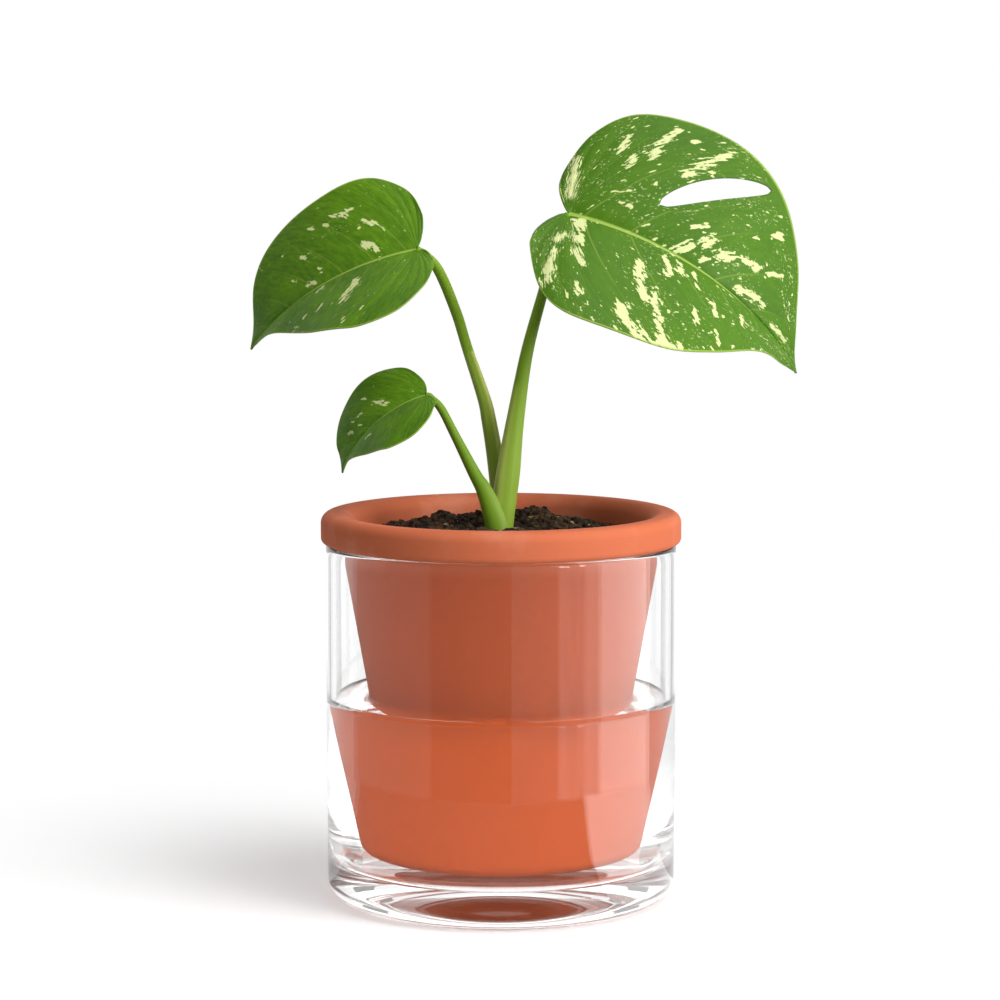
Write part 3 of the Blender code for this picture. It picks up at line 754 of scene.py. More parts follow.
def blade_finish(name, colours, threshold, deep, seed):
    """Upper face of a blade: green with pale ribs, and ragged cream marks and flecks along its veins.

    The UV map holds the vein along the margin in U and the share of the way from midrib to margin in V.
    """
    finish = Finish(name)

    def along_veins(across, along):
        return finish.coordinates("UV", (across, along, 1.0))

    shade = finish.noise(along_veins(9.0, 1.6), 1.0 + 0.05 * seed, 4.0)
    streak = finish.noise(along_veins(115.0, 9.0), 1.0 + 0.03 * seed, 3.0, 0.55)
    tone = finish.math("ADD", finish.math("MULTIPLY", shade, 0.5), finish.math("MULTIPLY", streak, 0.5))
    green = finish.mix(finish.ramp(tone, 0.30, 0.72), colours.leaf_deep, colours.leaf_green)
    green = finish.mix(deep, green, colours.leaf_deep)
    fleck = finish.noise(along_veins(80.0, 15.0), 1.0 + 0.07 * seed, 2.0, 0.5)
    fine = finish.noise(along_veins(200.0, 45.0), 1.0, 2.0, 0.6)
    zone = finish.noise(along_veins(6.0, 2.0), 1.4 + 0.09 * seed, 2.0)
    mark = finish.node("ShaderNodeAttribute", {"attribute_name": "cream"}).outputs["Fac"]
    ragged = finish.math("MULTIPLY", finish.math("SUBTRACT", streak, 0.5), 6.5)
    ragged = finish.math("ADD", ragged, finish.math("MULTIPLY", finish.math("SUBTRACT", fine, 0.5), 2.5))
    big = finish.ramp(finish.math("ADD", mark, ragged), 0.0, 0.35)
    sparse = finish.math("ADD", fleck, finish.math("MULTIPLY", zone, 0.30))
    small = finish.ramp(sparse, threshold + 0.245, threshold + 0.285)
    dusty = finish.math("ADD", fine, finish.math("MULTIPLY", zone, 0.40))
    dust = finish.math("MULTIPLY", finish.ramp(dusty, threshold + 0.27, threshold + 0.35), 0.5)
    marks = finish.math("MAXIMUM", big, finish.math("MAXIMUM", small, dust))
    base = finish.mix(finish.math("MULTIPLY", marks, 0.9), green, colours.leaf_cream)
    split = finish.node("ShaderNodeSeparateXYZ", Vector=finish.node("ShaderNodeTexCoord").outputs["UV"])
    place = split.outputs["X"]
    reach = split.outputs["Y"]
    midrib = finish.math("MULTIPLY", finish.ramp(reach, 0.019, 0.006), 0.8)
    margin = finish.ramp(reach, 0.980, 0.995)
    phase = finish.math("PINGPONG", finish.math("MULTIPLY", place, VEINS), 0.5)
    vein = finish.math("MULTIPLY", finish.ramp(phase, 0.030, 0.012), finish.ramp(reach, 0.85, 0.15))
    ribs = finish.math("MAXIMUM", midrib, finish.math("MULTIPLY", margin, 0.7))
    ribs = finish.math("MAXIMUM", ribs, finish.math("MULTIPLY", vein, 0.22))
    base = finish.mix(ribs, base, colours.leaf_rib)
    cells = finish.noise(along_veins(330.0, 120.0), 1.0, 2.0, 0.6)
    finish.surface(
        Base_Color=base,
        Roughness=finish.math("ADD", finish.math("MULTIPLY", cells, 0.10), 0.38),
        Specular_IOR_Level=0.12,
        Normal=finish.bump(cells, 0.06 * MM, 0.5),
    )
    return finish.material


def under_finish(name, colours):
    """Underside of a blade: paler, flatter green with the ribs standing out."""
    finish = Finish(name)
    streak = finish.noise(finish.coordinates("UV", (30.0, 3.0, 1.0)), 1.0, 4.0)
    base = finish.mix(finish.ramp(streak, 0.30, 0.75), colours.leaf_under, colours.leaf_rib)
    finish.surface(
        Base_Color=finish.mix(0.55, colours.leaf_under, base),
        Roughness=0.55,
        Specular_IOR_Level=0.35,
        Normal=finish.bump(streak, 0.10 * MM, 0.6),
    )
    return finish.material


def root_finish(colours):
    """Fibrous root skin."""
    finish = Finish("root_tissue")
    fibre = finish.noise(finish.coordinates("Object", (900.0, 900.0, 120.0)), 1.0, 4.0)
    dark = tuple(0.45 * part for part in colours.root)
    finish.surface(
        Base_Color=finish.mix(fibre, dark, colours.root),
        Roughness=0.8,
        Normal=finish.bump(fibre, 0.25 * MM, 0.7),
    )
    return finish.material


def wall_radius(vessel, height):
    """Outer radius of the pot's straight tapered wall at a height."""
    under = RIM_TOP - vessel.rim_height
    neck = GLASS_OUTER - vessel.glass_wall - vessel.neck_gap
    return vessel.pot_foot + (neck - vessel.pot_foot) * (height - POT_BOTTOM) / (under - POT_BOTTOM)


class PLANTER_OT_glass(Operator):
    """Build the glass reservoir, with a parabolic dome under its base"""

    bl_idname = "planter.glass"
    bl_label = "Glass reservoir"

    def execute(self, context):
        vessel = context.scene.planter_vessel
        inner = GLASS_OUTER - vessel.glass_wall
        corners = (
            (0.0, vessel.glass_base, 0.0),
            (inner, vessel.glass_base, vessel.floor_radius),
            (inner, GLASS_HEIGHT, vessel.lip_radius),
            (GLASS_OUTER, GLASS_HEIGHT, vessel.lip_radius),
            (GLASS_OUTER, 0.0, vessel.foot_radius),
            (vessel.punt_radius, 0.0, 0.0),
        )
        radius = np.linspace(vessel.punt_radius, 0.0, PUNT_STEPS)[1:]
        dome = vessel.punt_height * (1.0 - (radius / vessel.punt_radius) ** 2)
        profile = np.vstack((rounded_profile(corners), np.column_stack((radius, dome))))
        grid = turned(profile)
        faces = grid_quads(*grid.shape[:2], True)
        finish = glass_finish()
        make_piece("glass_vessel", grid, faces, [finish], "reservoir", ["glass_reservoir"])
        return {"FINISHED"}


class PLANTER_OT_water(Operator):
    """Build the water, with a meniscus where it meets the glass and the pot"""

    bl_idname = "planter.water"
    bl_label = "Water"

    def execute(self, context):
        vessel = context.scene.planter_vessel
        outer = GLASS_OUTER - vessel.glass_wall + vessel.water_overlap
        floor = vessel.glass_base - vessel.water_overlap
        pot = wall_radius(vessel, WATER_LEVEL)
        under_pot, around_pot = WATER_STEPS
        radius = np.concatenate((np.linspace(0.0, pot, under_pot), np.linspace(pot, outer, around_pot)[1:]))
        gap = np.minimum(np.abs(radius - pot), outer - radius)
        gap[radius < pot] = (pot - radius)[radius < pot]
        surface = WATER_LEVEL + vessel.meniscus * np.exp(-gap / vessel.meniscus_width)
        sides = rounded_profile((
            (outer, surface[-1], 0.0),
            (outer, floor, vessel.floor_radius),
            (0.0, floor, 0.0),
        ))
        grid = turned(np.vstack((np.column_stack((radius, surface)), sides[1:])))
        faces = grid_quads(*grid.shape[:2], True)
        finish = water_finish()
        piece = make_piece("water_body", grid, faces, [finish], "water", ["reservoir_water"])
        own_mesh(piece)
        return {"FINISHED"}


class PLANTER_OT_pot(Operator):
    """Build the terracotta pot"""

    bl_idname = "planter.pot"
    bl_label = "Terracotta pot"

    def execute(self, context):
        vessel = context.scene.planter_vessel
        inside = POT_BOTTOM + vessel.pot_floor
        under = RIM_TOP - vessel.rim_height
        corners = (
            (0.0, inside, 0.0),
            (wall_radius(vessel, inside) - vessel.pot_wall, inside, vessel.mouth_radius),
            (wall_radius(vessel, RIM_TOP) - vessel.pot_wall, RIM_TOP, vessel.mouth_radius),
            (RIM_OUTER, RIM_TOP, vessel.rim_top_radius),
            (RIM_OUTER, under, vessel.rim_lower_radius),
            (wall_radius(vessel, under), under, vessel.neck_radius),
            (wall_radius(vessel, POT_BOTTOM), POT_BOTTOM, vessel.pot_foot_radius),
            (0.0, POT_BOTTOM, 0.0),
        )
        grid = turned(rounded_profile(corners))
        faces = grid_quads(*grid.shape[:2], True)
        finish = clay_finish(context.scene.planter_colours, WATER_LEVEL, under)
        make_piece("clay_pot", grid, faces, [finish], "pot", ["terracotta_pot"])
        return {"FINISHED"}


def soil_height(soil, x, y):
    """Height of the soil: a broad cosine mound, a bell-shaped heap at each listed place, and fine lumps."""
    share = np.minimum(np.hypot(x, y) / SOIL_RADIUS, 1.0)
    mound = RIM_TOP - soil.edge_depth + soil.mound * (1 + np.cos(np.pi * share**MOUND_BREADTH)) / 2
    place, rise, spread = (np.array(part, float) for part in zip(*SOIL_HEAPS))
    away = np.hypot(x[..., None] / MM - place[:, 0], y[..., None] / MM - place[:, 1])
    heaps = MM * (rise * np.exp(-((away / spread) ** 2))).sum(axis=-1)
    lumps = waves(np.stack((x, y), axis=-1), LUMP_PITCH, soil.seed)
    return mound + heaps + soil.roughness * lumps * (1.0 - share**6)


class PLANTER_OT_soil(Operator):
    """Build the root ball with its rough mounded top"""

    bl_idname = "planter.soil"
    bl_label = "Potting soil"

    def execute(self, context):
        soil = context.scene.planter_soil
        vessel = context.scene.planter_vessel
        angle = np.linspace(0.0, 2 * np.pi, SOIL_SPOKES, endpoint=False)[None]
        radius = np.linspace(0.0, SOIL_RADIUS, SOIL_RINGS)[:, None]
        x = radius * np.cos(angle)
        y = radius * np.sin(angle)
        top = np.stack((x, y, soil_height(soil, x, y)), axis=-1)
        foot = wall_radius(vessel, SOIL_BOTTOM) - vessel.pot_wall - soil.foot_gap
        sides = turned(np.array(((foot, SOIL_BOTTOM), (0.0, SOIL_BOTTOM))), SOIL_SPOKES)
        grid = np.concatenate((top, sides))
        faces = grid_quads(*grid.shape[:2], True)
        finish = soil_finish(context.scene.planter_colours)
        make_piece("soil_ball", grid, faces, [finish], "plant", ["potting_soil"])
        return {"FINISHED"}


def lump_shape():
    """An icosahedron: three golden rectangles' corners, and the twenty triangles among nearest corners."""
    golden = (1 + 5**0.5) / 2
    signs = np.array([(a, b) for a in (-1, 1) for b in (-1, 1)], float)
    flat = np.column_stack((np.zeros(4), signs[:, 0], signs[:, 1] * golden))
    points = np.vstack([np.roll(flat, shift, axis=1) for shift in range(3)])
    apart = np.linalg.norm(points[:, None] - points[None], axis=-1)
    near = np.abs(apart - 2.0) < 0.1
    triples = [(a, b, c) for a in range(12) for b in range(a) for c in range(b)]
    faces = np.array([(a, b, c) for a, b, c in triples if near[a, b] and near[b, c] and near[a, c]])
    middle = points[faces].mean(axis=1)
    normal = np.cross(points[faces[:, 1]] - points[faces[:, 0]], points[faces[:, 2]] - points[faces[:, 0]])
    wrong = np.einsum("ij,ij->i", middle, normal) < 0
    faces[wrong] = faces[wrong][:, ::-1]
    return points / np.linalg.norm(points[0]), faces


def turns(rng, count, tilt):
    """Rotation matrices: a spin about Z, then a tilt of up to a given angle about a level axis."""
    spin = rng.uniform(0, 2 * np.pi, count)
    lean = rng.uniform(-tilt, tilt, count)
    zero = np.zeros(count)
    one = np.ones(count)
    about_z = np.array((
        (np.cos(spin), -np.sin(spin), zero),
        (np.sin(spin), np.cos(spin), zero),
        (zero, zero, one),
    ))
    about_x = np.array((
        (one, zero, zero),
        (zero, np.cos(lean), -np.sin(lean)),
        (zero, np.sin(lean), np.cos(lean)),
    ))
    return np.einsum("ijn,jkn->nik", about_x, about_z)


def scattered(soil, count, sizes, tilt, seed):
    """Many rough lumps on the soil: icosahedra with uneven corners, stretched, turned and set down.

    sizes gives the lowest and highest half size along each axis. Places are even over the disc and keep
    clear of the stem.
    """
    rng = np.random.default_rng(seed)
    points, faces = lump_shape()
    radius = SOIL_RADIUS * SCATTER_SPREAD * np.sqrt(rng.uniform(0, 1, count))
    angle = rng.uniform(0, 2 * np.pi, count)
    places = np.stack((radius * np.cos(angle), radius * np.sin(angle)))
    x, y = places[:, np.hypot(places[0], places[1] - STEM_MIDDLE) > STEM_CLEARANCE]
    count = len(x)
    low, high = np.asarray(sizes, float)
    grade = rng.uniform(0, 1, (count, 1)) ** 2
    half = (low + (high - low) * grade) * rng.uniform(*UNEVEN_LENGTHS, (count, 3))
    uneven = rng.uniform(*UNEVEN_CORNERS, (count, len(points), 1))
    shapes = points[None] * uneven * half[:, None]
    shapes = np.einsum("nij,nvj->nvi", turns(rng, count, tilt), shapes)
    height = soil_height(soil, x, y) + half[:, 2] * STAND_OUT
    shapes += np.stack((x, y, height), axis=-1)[:, None]
    tone = np.repeat(rng.uniform(0, 1, count), len(points))
    all_faces = (faces[None] + np.arange(count)[:, None, None] * len(points)).reshape(-1, 3)
    return shapes.reshape(-1, 3), all_faces, tone


class PLANTER_OT_crumbs(Operator):
    """Scatter loose crumbs and bark chips on the soil"""

    bl_idname = "planter.crumbs"
    bl_label = "Crumbs and bark"

    def execute(self, context):
        soil = context.scene.planter_soil
        colours = context.scene.planter_colours
        kinds = (
            ("soil_crumbs", soil.crumbs, CRUMB_SIZES, CRUMB_TILT, soil.seed + 1, colours.soil_light, 1.25),
            ("bark_chips", soil.bark, BARK_SIZES, BARK_TILT, soil.seed + 2, colours.bark, 0.85),
        )
        for name, count, sizes, tilt, seed, pale, start in kinds:
            points, faces, tone = scattered(soil, count, sizes, tilt, seed)
            finish = crumb_finish(name, colours, pale, start)
            layers = {"tone": tone}
            make_piece(name, points, faces, [finish], "plant", (), layers, smooth=False)
        return {"FINISHED"}


class PLANTER_OT_roots(Operator):
    """Give the buried crown and roots their finish"""

    bl_idname = "planter.roots"
    bl_label = "Crown and roots"

    def execute(self, context):
        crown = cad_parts["root_crown"]
        crown.data.materials.clear()
        crown.data.materials.append(root_finish(context.scene.planter_colours))
        return {"FINISHED"}


def stalk_surface(stalk, joint):
    """Grid of a stalk, with the sheath's paleness at each point.

    The path is a spline from below the soil to the leaf's joint. Each ring lies square to the path, and its
    radius is the spline of the given radii, swollen just under the blade, with a raised wing on one side.
    """
    route = [point for point, _ in stalk["route"]]
    radii = [radius for _, radius in stalk["route"]]
    below = (route[0][0], route[0][1], STALK_START)
    places = np.linspace(0.0, 1.0, STALK_RINGS)
    path = spline([below, *route, joint], places)
    radius = spline([[radii[0]], *([value] for value in radii), [STALK_TIP]], places)[:, 0]
    radius = radius * (1.0 + KNEE_SWELL * np.exp(-((places - KNEE_PLACE) / KNEE_BREADTH) ** 2))
    along = np.gradient(path, axis=0)
    along /= np.linalg.norm(along, axis=1)[:, None]
    front = np.array((0.0, -1.0, 0.0)) - along * -along[:, 1:2]
    front /= np.linalg.norm(front, axis=1)[:, None]
    side = np.cross(along, front)
    angle = np.linspace(0.0, 2 * np.pi, STALK_SIDES, endpoint=False)
    wing = stalk["wing"]
    off = (angle - math.radians(wing["facing"]) + np.pi) % (2 * np.pi) - np.pi
    ridge = np.exp(-((off / wing["width"]) ** 2))[None]
    rise = np.clip((places - wing["first"]) / SHEATH_START, 0.0, 1.0)
    fade = np.clip((wing["last"] - places) / wing["last"], 0.0, 1.0) ** wing["taper"]
    extent = (rise * fade)[:, None]
    share = extent * ridge
    reach = radius[:, None] + wing["height"] * share
    ring = np.cos(angle)[None, :, None] * front[:, None] + np.sin(angle)[None, :, None] * side[:, None]
    grid = path[:, None] + reach[..., None] * ring
    ends = np.repeat(path[[0, -1], None], STALK_SIDES, axis=1)
    grid = np.concatenate((ends[:1], grid, ends[1:]))
    pale = wing["pale"] * np.clip(SHEATH_GAIN * np.maximum(share, SHEATH_TINT * extent), 0.0, 1.0)
    pale = np.concatenate((pale[:1], pale, pale[-1:]))
    return grid * MM + np.array((0.0, 0.0, STALK_FOOT)), pale


class PLANTER_OT_stalks(Operator):
    """Build the three leaf stalks with their sheaths"""

    bl_idname = "planter.stalks"
    bl_label = "Leaf stalks"

    def execute(self, context):
        for name, stalk in STALKS.items():
            grid, share = stalk_surface(stalk, BLADES[name]["joint"])
            rows, columns = grid.shape[:2]
            around, up = np.meshgrid(np.arange(columns) / columns, np.arange(rows) / rows)
            finish = stalk_finish(f"stalk_{name}", context.scene.planter_colours, stalk["deep"])
            faces = grid_quads(rows, columns, True)
            layers = {"wing": share}
            uv = np.stack((around, up), axis=-1)
            make_piece(f"stalk_{name}", grid, faces, [finish], "plant", [f"petiole_{name}"], layers, uv)
        return {"FINISHED"}


def vein_points(margin, places, midrib):
    """Points along veins to the margin: the first fan from the stalk, the rest leave the midrib in turn.

    Each vein is the straight line from its start to the margin plus a parabola across it.
    """
    origin = np.zeros_like(margin)
    origin[:, 0] = midrib * np.clip((places - VEIN_FAN) / (1.0 - VEIN_FAN), 0.0, 1.0)
    reach = margin - origin
    outward = np.sign(margin[:, 1:2])
    bulge = VEIN_ARCH * np.column_stack((-reach[:, 1], reach[:, 0])) * outward
    share = 1.0 - np.linspace(1.0, 0.0, BLADE_COLUMNS + 1) ** COLUMN_EASE
    t = share[None, :, None]
    return origin[:, None] + reach[:, None] * t + bulge[:, None] * 2 * t * (1 - t), share


def slot_shift(slot, row, flat):
    """How far the blade parts across the veins to open its slot: a sine along it, fading with distance."""
    first, last = slot["inside"]
    columns = np.linspace(0.0, 1.0, flat.shape[1])
    inside = np.clip((columns - first) / (last - first), 0.0, 1.0)
    opening = slot["half_width"] * np.sin(np.pi * inside**SLOT_LEAN) ** SLOT_FULLNESS
    line = flat[row]
    along = np.gradient(line, axis=0)
    across = np.column_stack((-along[:, 1], along[:, 0])) / np.linalg.norm(along, axis=1)[:, None]
    away = np.einsum("rcd,cd->rc", flat - line, across)
    fade = np.clip(1.0 - np.abs(away) / slot["reach"], 0.0, 1.0)
    return across[None] * (opening * fade)[..., None]


def blade_relief(plant, places, share, side):
    """Lift of a blade's face: swells between side veins, grooves at veins and midrib, waves at the margin.

    Swell and veins shrink where the veins run close together near the stalk.
    """
    phase = places[:, None] * VEINS
    from_vein = np.abs(phase - np.round(phase))
    reach = np.sin(np.pi * np.clip(share, 0.0, 1.0) ** 0.7)[None]
    past_fan = np.clip((places[:, None] - VEIN_FAN) / (1.0 - VEIN_FAN), 0.0, 1.0)
    spread = share[None] + (1.0 - share[None]) * past_fan
    lift = plant.quilting * spread * reach * np.sin(np.pi * from_vein) ** 2
    lift = lift - plant.vein_relief * spread * reach * np.exp(-((from_vein / VEIN_BREADTH) ** 2))
    lift = lift - plant.midrib_relief * np.exp(-((share / MIDRIB_BREADTH) ** 2))[None]
    return lift + plant.edge_wave * np.sin(EDGE_TURNS * places[:, None] + 2.0 * side) * share[None] ** 3


def bent(blade, flat, lift):
    """Bend a flat blade: an arc along the midrib, a fold at it, a droop to the margins, and the relief."""
    along = flat[..., 0]
    across = flat[..., 1]
    angle = along / blade["arch_radius"]
    rise = blade["fold"] * np.abs(across) - across**2 / (2 * blade["droop_radius"]) + lift / MM
    x = (blade["arch_radius"] + rise) * np.sin(angle)
    z = (blade["arch_radius"] + rise) * np.cos(angle) - blade["arch_radius"]
    return np.stack((x, across, z), axis=-1) * MM


def blade_turn(blade):
    """Rotation whose first column runs out along the midrib and whose last is the upper face."""
    bearing, rise, roll = (math.radians(blade[key]) for key in ("bearing", "rise", "roll"))
    out = np.array((math.cos(rise) * math.cos(bearing), math.cos(rise) * math.sin(bearing), math.sin(rise)))
    side = np.cross((0.0, 0.0, 1.0), out)
    side /= np.linalg.norm(side)
    upper = np.cross(out, side) * math.cos(roll) + side * math.sin(roll)
    return np.column_stack((out, np.cross(upper, out), upper))


def cream_marks(blade, flat):
    """How far inside the nearest cream mark each point lies: 1 at its core, 0 at its edge, -2 well outside.

    A mark is all that lies within its half width of the straight line between its two ends.
    """
    first, last, width = (np.array(part, float) for part in zip(*blade["marks"]))
    along = last - first
    offset = flat[..., None, :] - first
    share = np.clip((offset * along).sum(axis=-1) / (along**2).sum(axis=-1), 0.0, 1.0)
    away = np.linalg.norm(offset - share[..., None] * along, axis=-1) / width
    return np.clip(1.0 - away.min(axis=-1), -2.0, 1.0)


def blade_surface(blade, plant):
    """Vertices, quads, UVs and cream of a blade: both halves in vein order, parted where there is a slot."""
    places = np.linspace(FIRST_ROW, 1.0, BLADE_ROWS + 1)
    slot = blade["slot"]
    vertices, faces, uvs, cream = [], [], [], []
    count = 0
    for side, edge in enumerate(blade["sides"]):
        margin = spline(((0.0, 0.0), *edge, (blade["length"], 0.0)), places)
        flat, share = vein_points(margin, places, blade["length"])
        lift = blade_relief(plant, places, share, side) * blade["length"] / BLADES["right"]["length"]
        uv = np.stack(np.broadcast_arrays(places[:, None] + 2.0 * side, share[None]), axis=-1)
        parts = [(slice(None), 0.0)]
        shift = 0.0 * flat
        if slot is not None and slot["side"] == side:
            row = int(np.argmin(np.abs(places - slot["margin"])))
            shift = slot_shift(slot, row, flat)
            parts = [(slice(None, row + 1), 1.0), (slice(row, None), -1.0)]
        for rows, way in parts:
            parted = (flat + way * shift)[rows]
            grid = bent(blade, parted, lift[rows])
            quads = grid_quads(*grid.shape[:2], False) + count
            faces.append(quads if side == 0 else quads[:, ::-1])
            vertices.append(grid.reshape(-1, 3))
            uvs.append(uv[rows].reshape(-1, 2))
            cream.append(cream_marks(blade, parted).ravel())
            count += len(vertices[-1])
    joint = np.array(blade["joint"]) * MM + np.array((0.0, 0.0, STALK_FOOT))
    placed = np.vstack(vertices) @ blade_turn(blade).T + joint
    return placed, np.vstack(faces), np.vstack(uvs), np.concatenate(cream)


class PLANTER_OT_leaves(Operator):
    """Build the three leaf blades"""

    bl_idname = "planter.leaves"
    bl_label = "Leaf blades"

    def execute(self, context):
        plant = context.scene.planter_plant
        colours = context.scene.planter_colours
        for index, (name, blade) in enumerate(BLADES.items()):
            vertices, faces, uv, cream = blade_surface(blade, plant)
            finishes = [
                blade_finish(f"leaf_{name}", colours, blade["flecks"], blade["deep"], index),
                under_finish(f"leaf_{name}_under", colours),
            ]
            layers = {"cream": cream}
            piece = make_piece(
                f"blade_{name}", vertices, faces, finishes, "plant", [f"leaf_{name}"], layers, uv, False
            )
            thick = piece.modifiers.new("Thickness", "SOLIDIFY")
            thick.thickness = plant.blade_thickness
            thick.offset = 0.0
            thick.material_offset = 1
        return {"FINISHED"}


def add_lamp(name, place, size, power):
    """A rectangular soft lamp at a place, turned to the target."""
    data = bpy.data.lights.new(name, "AREA")
    data.shape = "RECTANGLE"
    data.size, data.size_y = size
    data.energy = power
    lamp = bpy.data.objects.new(name, data)
    lamp.location = place
    lamp.rotation_euler = (Vector(LAMP_TARGET) - Vector(place)).to_track_quat("-Z", "Y").to_euler()
    bpy.context.scene.collection.objects.link(lamp)


def seen_rays(tree):
    """1 for camera, mirror and glass rays, 0 for the rays that light surfaces."""
    rays = tree.nodes.new("ShaderNodeLightPath").outputs
    mirrored = math_value(tree, "MAXIMUM", rays["Is Glossy Ray"], rays["Is Transmission Ray"])
    return math_value(tree, "MAXIMUM", rays["Is Camera Ray"], mirrored)


def floor_finish():
    """White studio floor: it takes the shadow near the middle and looks evenly white farther out."""
    finish = Finish("studio_floor")
    rays = finish.node("ShaderNodeLightPath").outputs
    direct = finish.math("LESS_THAN", rays["Diffuse Depth"], 0.5)
    bright = finish.math("MULTIPLY", finish.math("MULTIPLY", rays["Is Transmission Ray"], direct), GLASS_GLOW)
    near = finish.math("MAXIMUM", finish.math("MULTIPLY", seen_rays(finish.tree), FLOOR_GLOW), bright)
    finish.surface(Base_Color=(0.9, 0.9, 0.9, 1.0), Roughness=1.0, Specular_IOR_Level=0.0)
    finish.surface(Emission_Color=(1.0, 1.0, 1.0, 1.0), Emission_Strength=near)
    far = finish.math("MAXIMUM", seen_rays(finish.tree), FLOOR_BOUNCE)
    glow = finish.node("ShaderNodeEmission", Color=(1.0, 1.0, 1.0, 1.0), Strength=far).outputs["Emission"]
    level = finish.coordinates("Object", (1.0, 1.0, 0.0))
    away = finish.node("ShaderNodeVectorMath", {"operation": "LENGTH"}, Vector=level).outputs["Value"]
    heart = finish.math("MULTIPLY", finish.ramp(away, *FLOOR_HEART), HEART_GLOW)
    share = finish.math("MAXIMUM", finish.ramp(away, *FLOOR_FADE), heart)
    both = finish.node("ShaderNodeMixShader", Fac=share)
    finish.feed(both.inputs[1], finish.shader.outputs["BSDF"])
    finish.feed(both.inputs[2], glow)
    finish.feed(finish.tree.nodes["Material Output"].inputs["Surface"], both.outputs["Shader"])
    return finish.material


def light_world(scene):
    """Soft light on surfaces, more of it behind glass and water, and white for all that is seen."""
    scene.world = bpy.data.worlds.new("studio")
    scene.world.use_nodes = True
    tree = scene.world.node_tree
    rays = tree.nodes.new("ShaderNodeLightPath").outputs
    wet = math_value(tree, "GREATER_THAN", rays["Transmission Depth"], WATER_DEPTH)
    more = math_value(tree, "MULTIPLY", wet, WATER_LIGHT - GLASS_LIGHT)
    extra = math_value(tree, "ADD", more, GLASS_LIGHT - 1.0)
    lit = math_value(tree, "GREATER_THAN", rays["Diffuse Depth"], 0.5)
    behind = math_value(tree, "MULTIPLY", lit, rays["Is Transmission Ray"])
    seen = math_value(tree, "MAXIMUM", seen_rays(tree), WORLD_LIGHT)
    background = tree.nodes["Background"]
    brighter = math_value(tree, "MULTIPLY", behind, extra)
    tree.links.new(math_value(tree, "ADD", seen, brighter), background.inputs["Strength"])
    background.inputs["Color"].default_value = (1.0, 1.0, 1.0, 1.0)


def add_card(name, bearing, width, near, far, shade, glow):
    """A card seen only in glass and mirrors, curved about the middle between a near and a far edge.

    It takes no light from what it stands before: rays that have lit a surface pass through it.
    """
    finish = Finish(name)
    finish.surface(Base_Color=(shade, shade, shade, 1.0), Roughness=1.0, Specular_IOR_Level=0.0)
    finish.surface(Emission_Color=(1.0, 1.0, 1.0, 1.0), Emission_Strength=glow)
    lighting = finish.math("GREATER_THAN", finish.node("ShaderNodeLightPath").outputs["Diffuse Depth"], 0.5)
    finish.surface(Alpha=finish.math("SUBTRACT", 1.0, lighting))
    turn = np.radians(bearing + np.linspace(-width / 2, width / 2, CARD_STEPS))
    around = np.column_stack((np.sin(turn), -np.cos(turn), np.zeros(CARD_STEPS)))
    grid = np.stack([around * distance + np.array((0.0, 0.0, height)) for distance, height in (near, far)])
    mesh = bpy.data.meshes.new(name)
    mesh.from_pydata(grid.reshape(-1, 3).tolist(), [], grid_quads(2, CARD_STEPS, False).tolist())
    mesh.materials.append(finish.material)
    card = bpy.data.objects.new(name, mesh)
    bpy.context.scene.collection.objects.link(card)
    card.visible_camera = False
    card.visible_diffuse = False
    card.visible_shadow = False
    return card


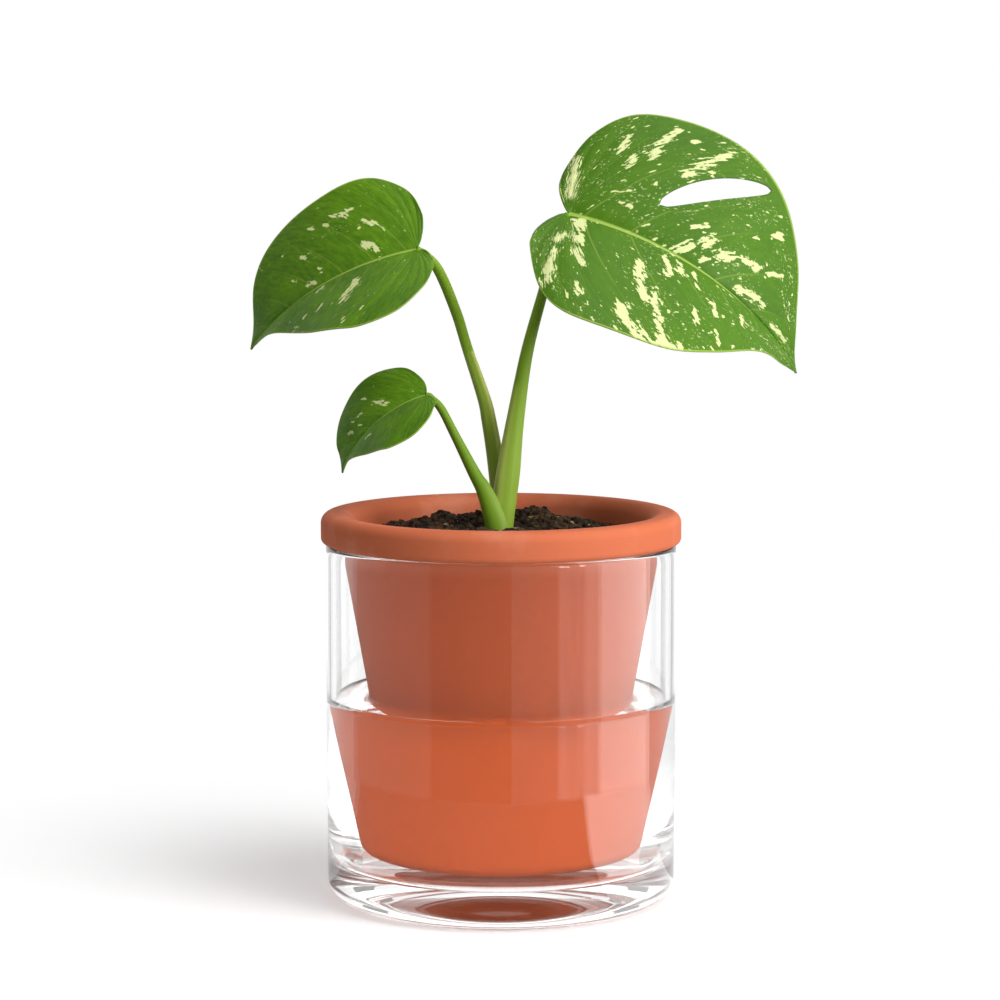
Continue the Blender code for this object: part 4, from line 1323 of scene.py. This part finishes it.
class PLANTER_OT_stage(Operator):
    """Set up the floor, the lamps, the world and the camera"""

    bl_idname = "planter.stage"
    bl_label = "Stage"

    def execute(self, context):
        scene = context.scene
        scene.view_settings.view_transform = "Standard"
        light_world(scene)
        scene.cycles.max_bounces = GLASS_BOUNCES
        scene.cycles.transmission_bounces = GLASS_BOUNCES
        scene.cycles.glossy_bounces = GLASS_BOUNCES
        radius = np.linspace(0.0, FLOOR_RADIUS, FLOOR_RINGS)
        grid = turned(np.column_stack((radius, np.full(FLOOR_RINGS, -FLOOR_DROP))), FLOOR_SEGMENTS)
        mesh = bpy.data.meshes.new("floor")
        faces = grid_quads(*grid.shape[:2], True)[:, ::-1]
        mesh.from_pydata(grid.reshape(-1, 3).tolist(), [], faces.tolist())
        clean_mesh(mesh, False)
        mesh.materials.append(floor_finish())
        floor = bpy.data.objects.new("floor", mesh)
        scene.collection.objects.link(floor)
        for name, sizes in MIRROR_CARDS.items():
            add_card(name, *sizes)
        for name, sizes in EDGE_CARDS.items():
            add_card(name, *sizes).visible_glossy = False
        for name, (place, size, power) in LAMPS.items():
            add_lamp(name, place, size, power)
        camera = bpy.data.objects.new("camera", bpy.data.cameras.new("camera"))
        camera.data.sensor_width = 36.0
        camera.data.lens = CAMERA_LENS
        camera.location = CAMERA_PLACE
        camera.rotation_euler = (math.pi / 2 - CAMERA_TILT, 0.0, 0.0)
        scene.collection.objects.link(camera)
        scene.camera = camera
        return {"FINISHED"}


OPERATORS = (
    PLANTER_OT_glass,
    PLANTER_OT_water,
    PLANTER_OT_pot,
    PLANTER_OT_soil,
    PLANTER_OT_crumbs,
    PLANTER_OT_roots,
    PLANTER_OT_stalks,
    PLANTER_OT_leaves,
    PLANTER_OT_stage,
)


class PLANTER_PT_panel(Panel):
    """Lists the planter's pieces"""

    bl_idname = "PLANTER_PT_panel"
    bl_label = "Planter"
    bl_space_type = "VIEW_3D"
    bl_region_type = "UI"
    bl_category = "Planter"

    def draw(self, context):
        for operator in OPERATORS:
            self.layout.operator(operator.bl_idname)


GROUPS = {
    "planter_vessel": PLANTER_PG_vessel,
    "planter_soil": PLANTER_PG_soil,
    "planter_plant": PLANTER_PG_plant,
    "planter_colours": PLANTER_PG_colours,
}


def register():
    """Register the classes and hang the property groups on the scene."""
    for made in (*GROUPS.values(), *OPERATORS, PLANTER_PT_panel):
        bpy.utils.register_class(made)
    for name, group in GROUPS.items():
        setattr(bpy.types.Scene, name, PointerProperty(type=group))


def unregister():
    """Undo register."""
    for name in GROUPS:
        delattr(bpy.types.Scene, name)
    for made in reversed((*GROUPS.values(), *OPERATORS, PLANTER_PT_panel)):
        bpy.utils.unregister_class(made)


def main():
    """Build every piece and the stage."""
    register()
    for operator in OPERATORS:
        group, name = operator.bl_idname.split(".")
        getattr(getattr(bpy.ops, group), name)()


if __name__ == "__main__":
    main()
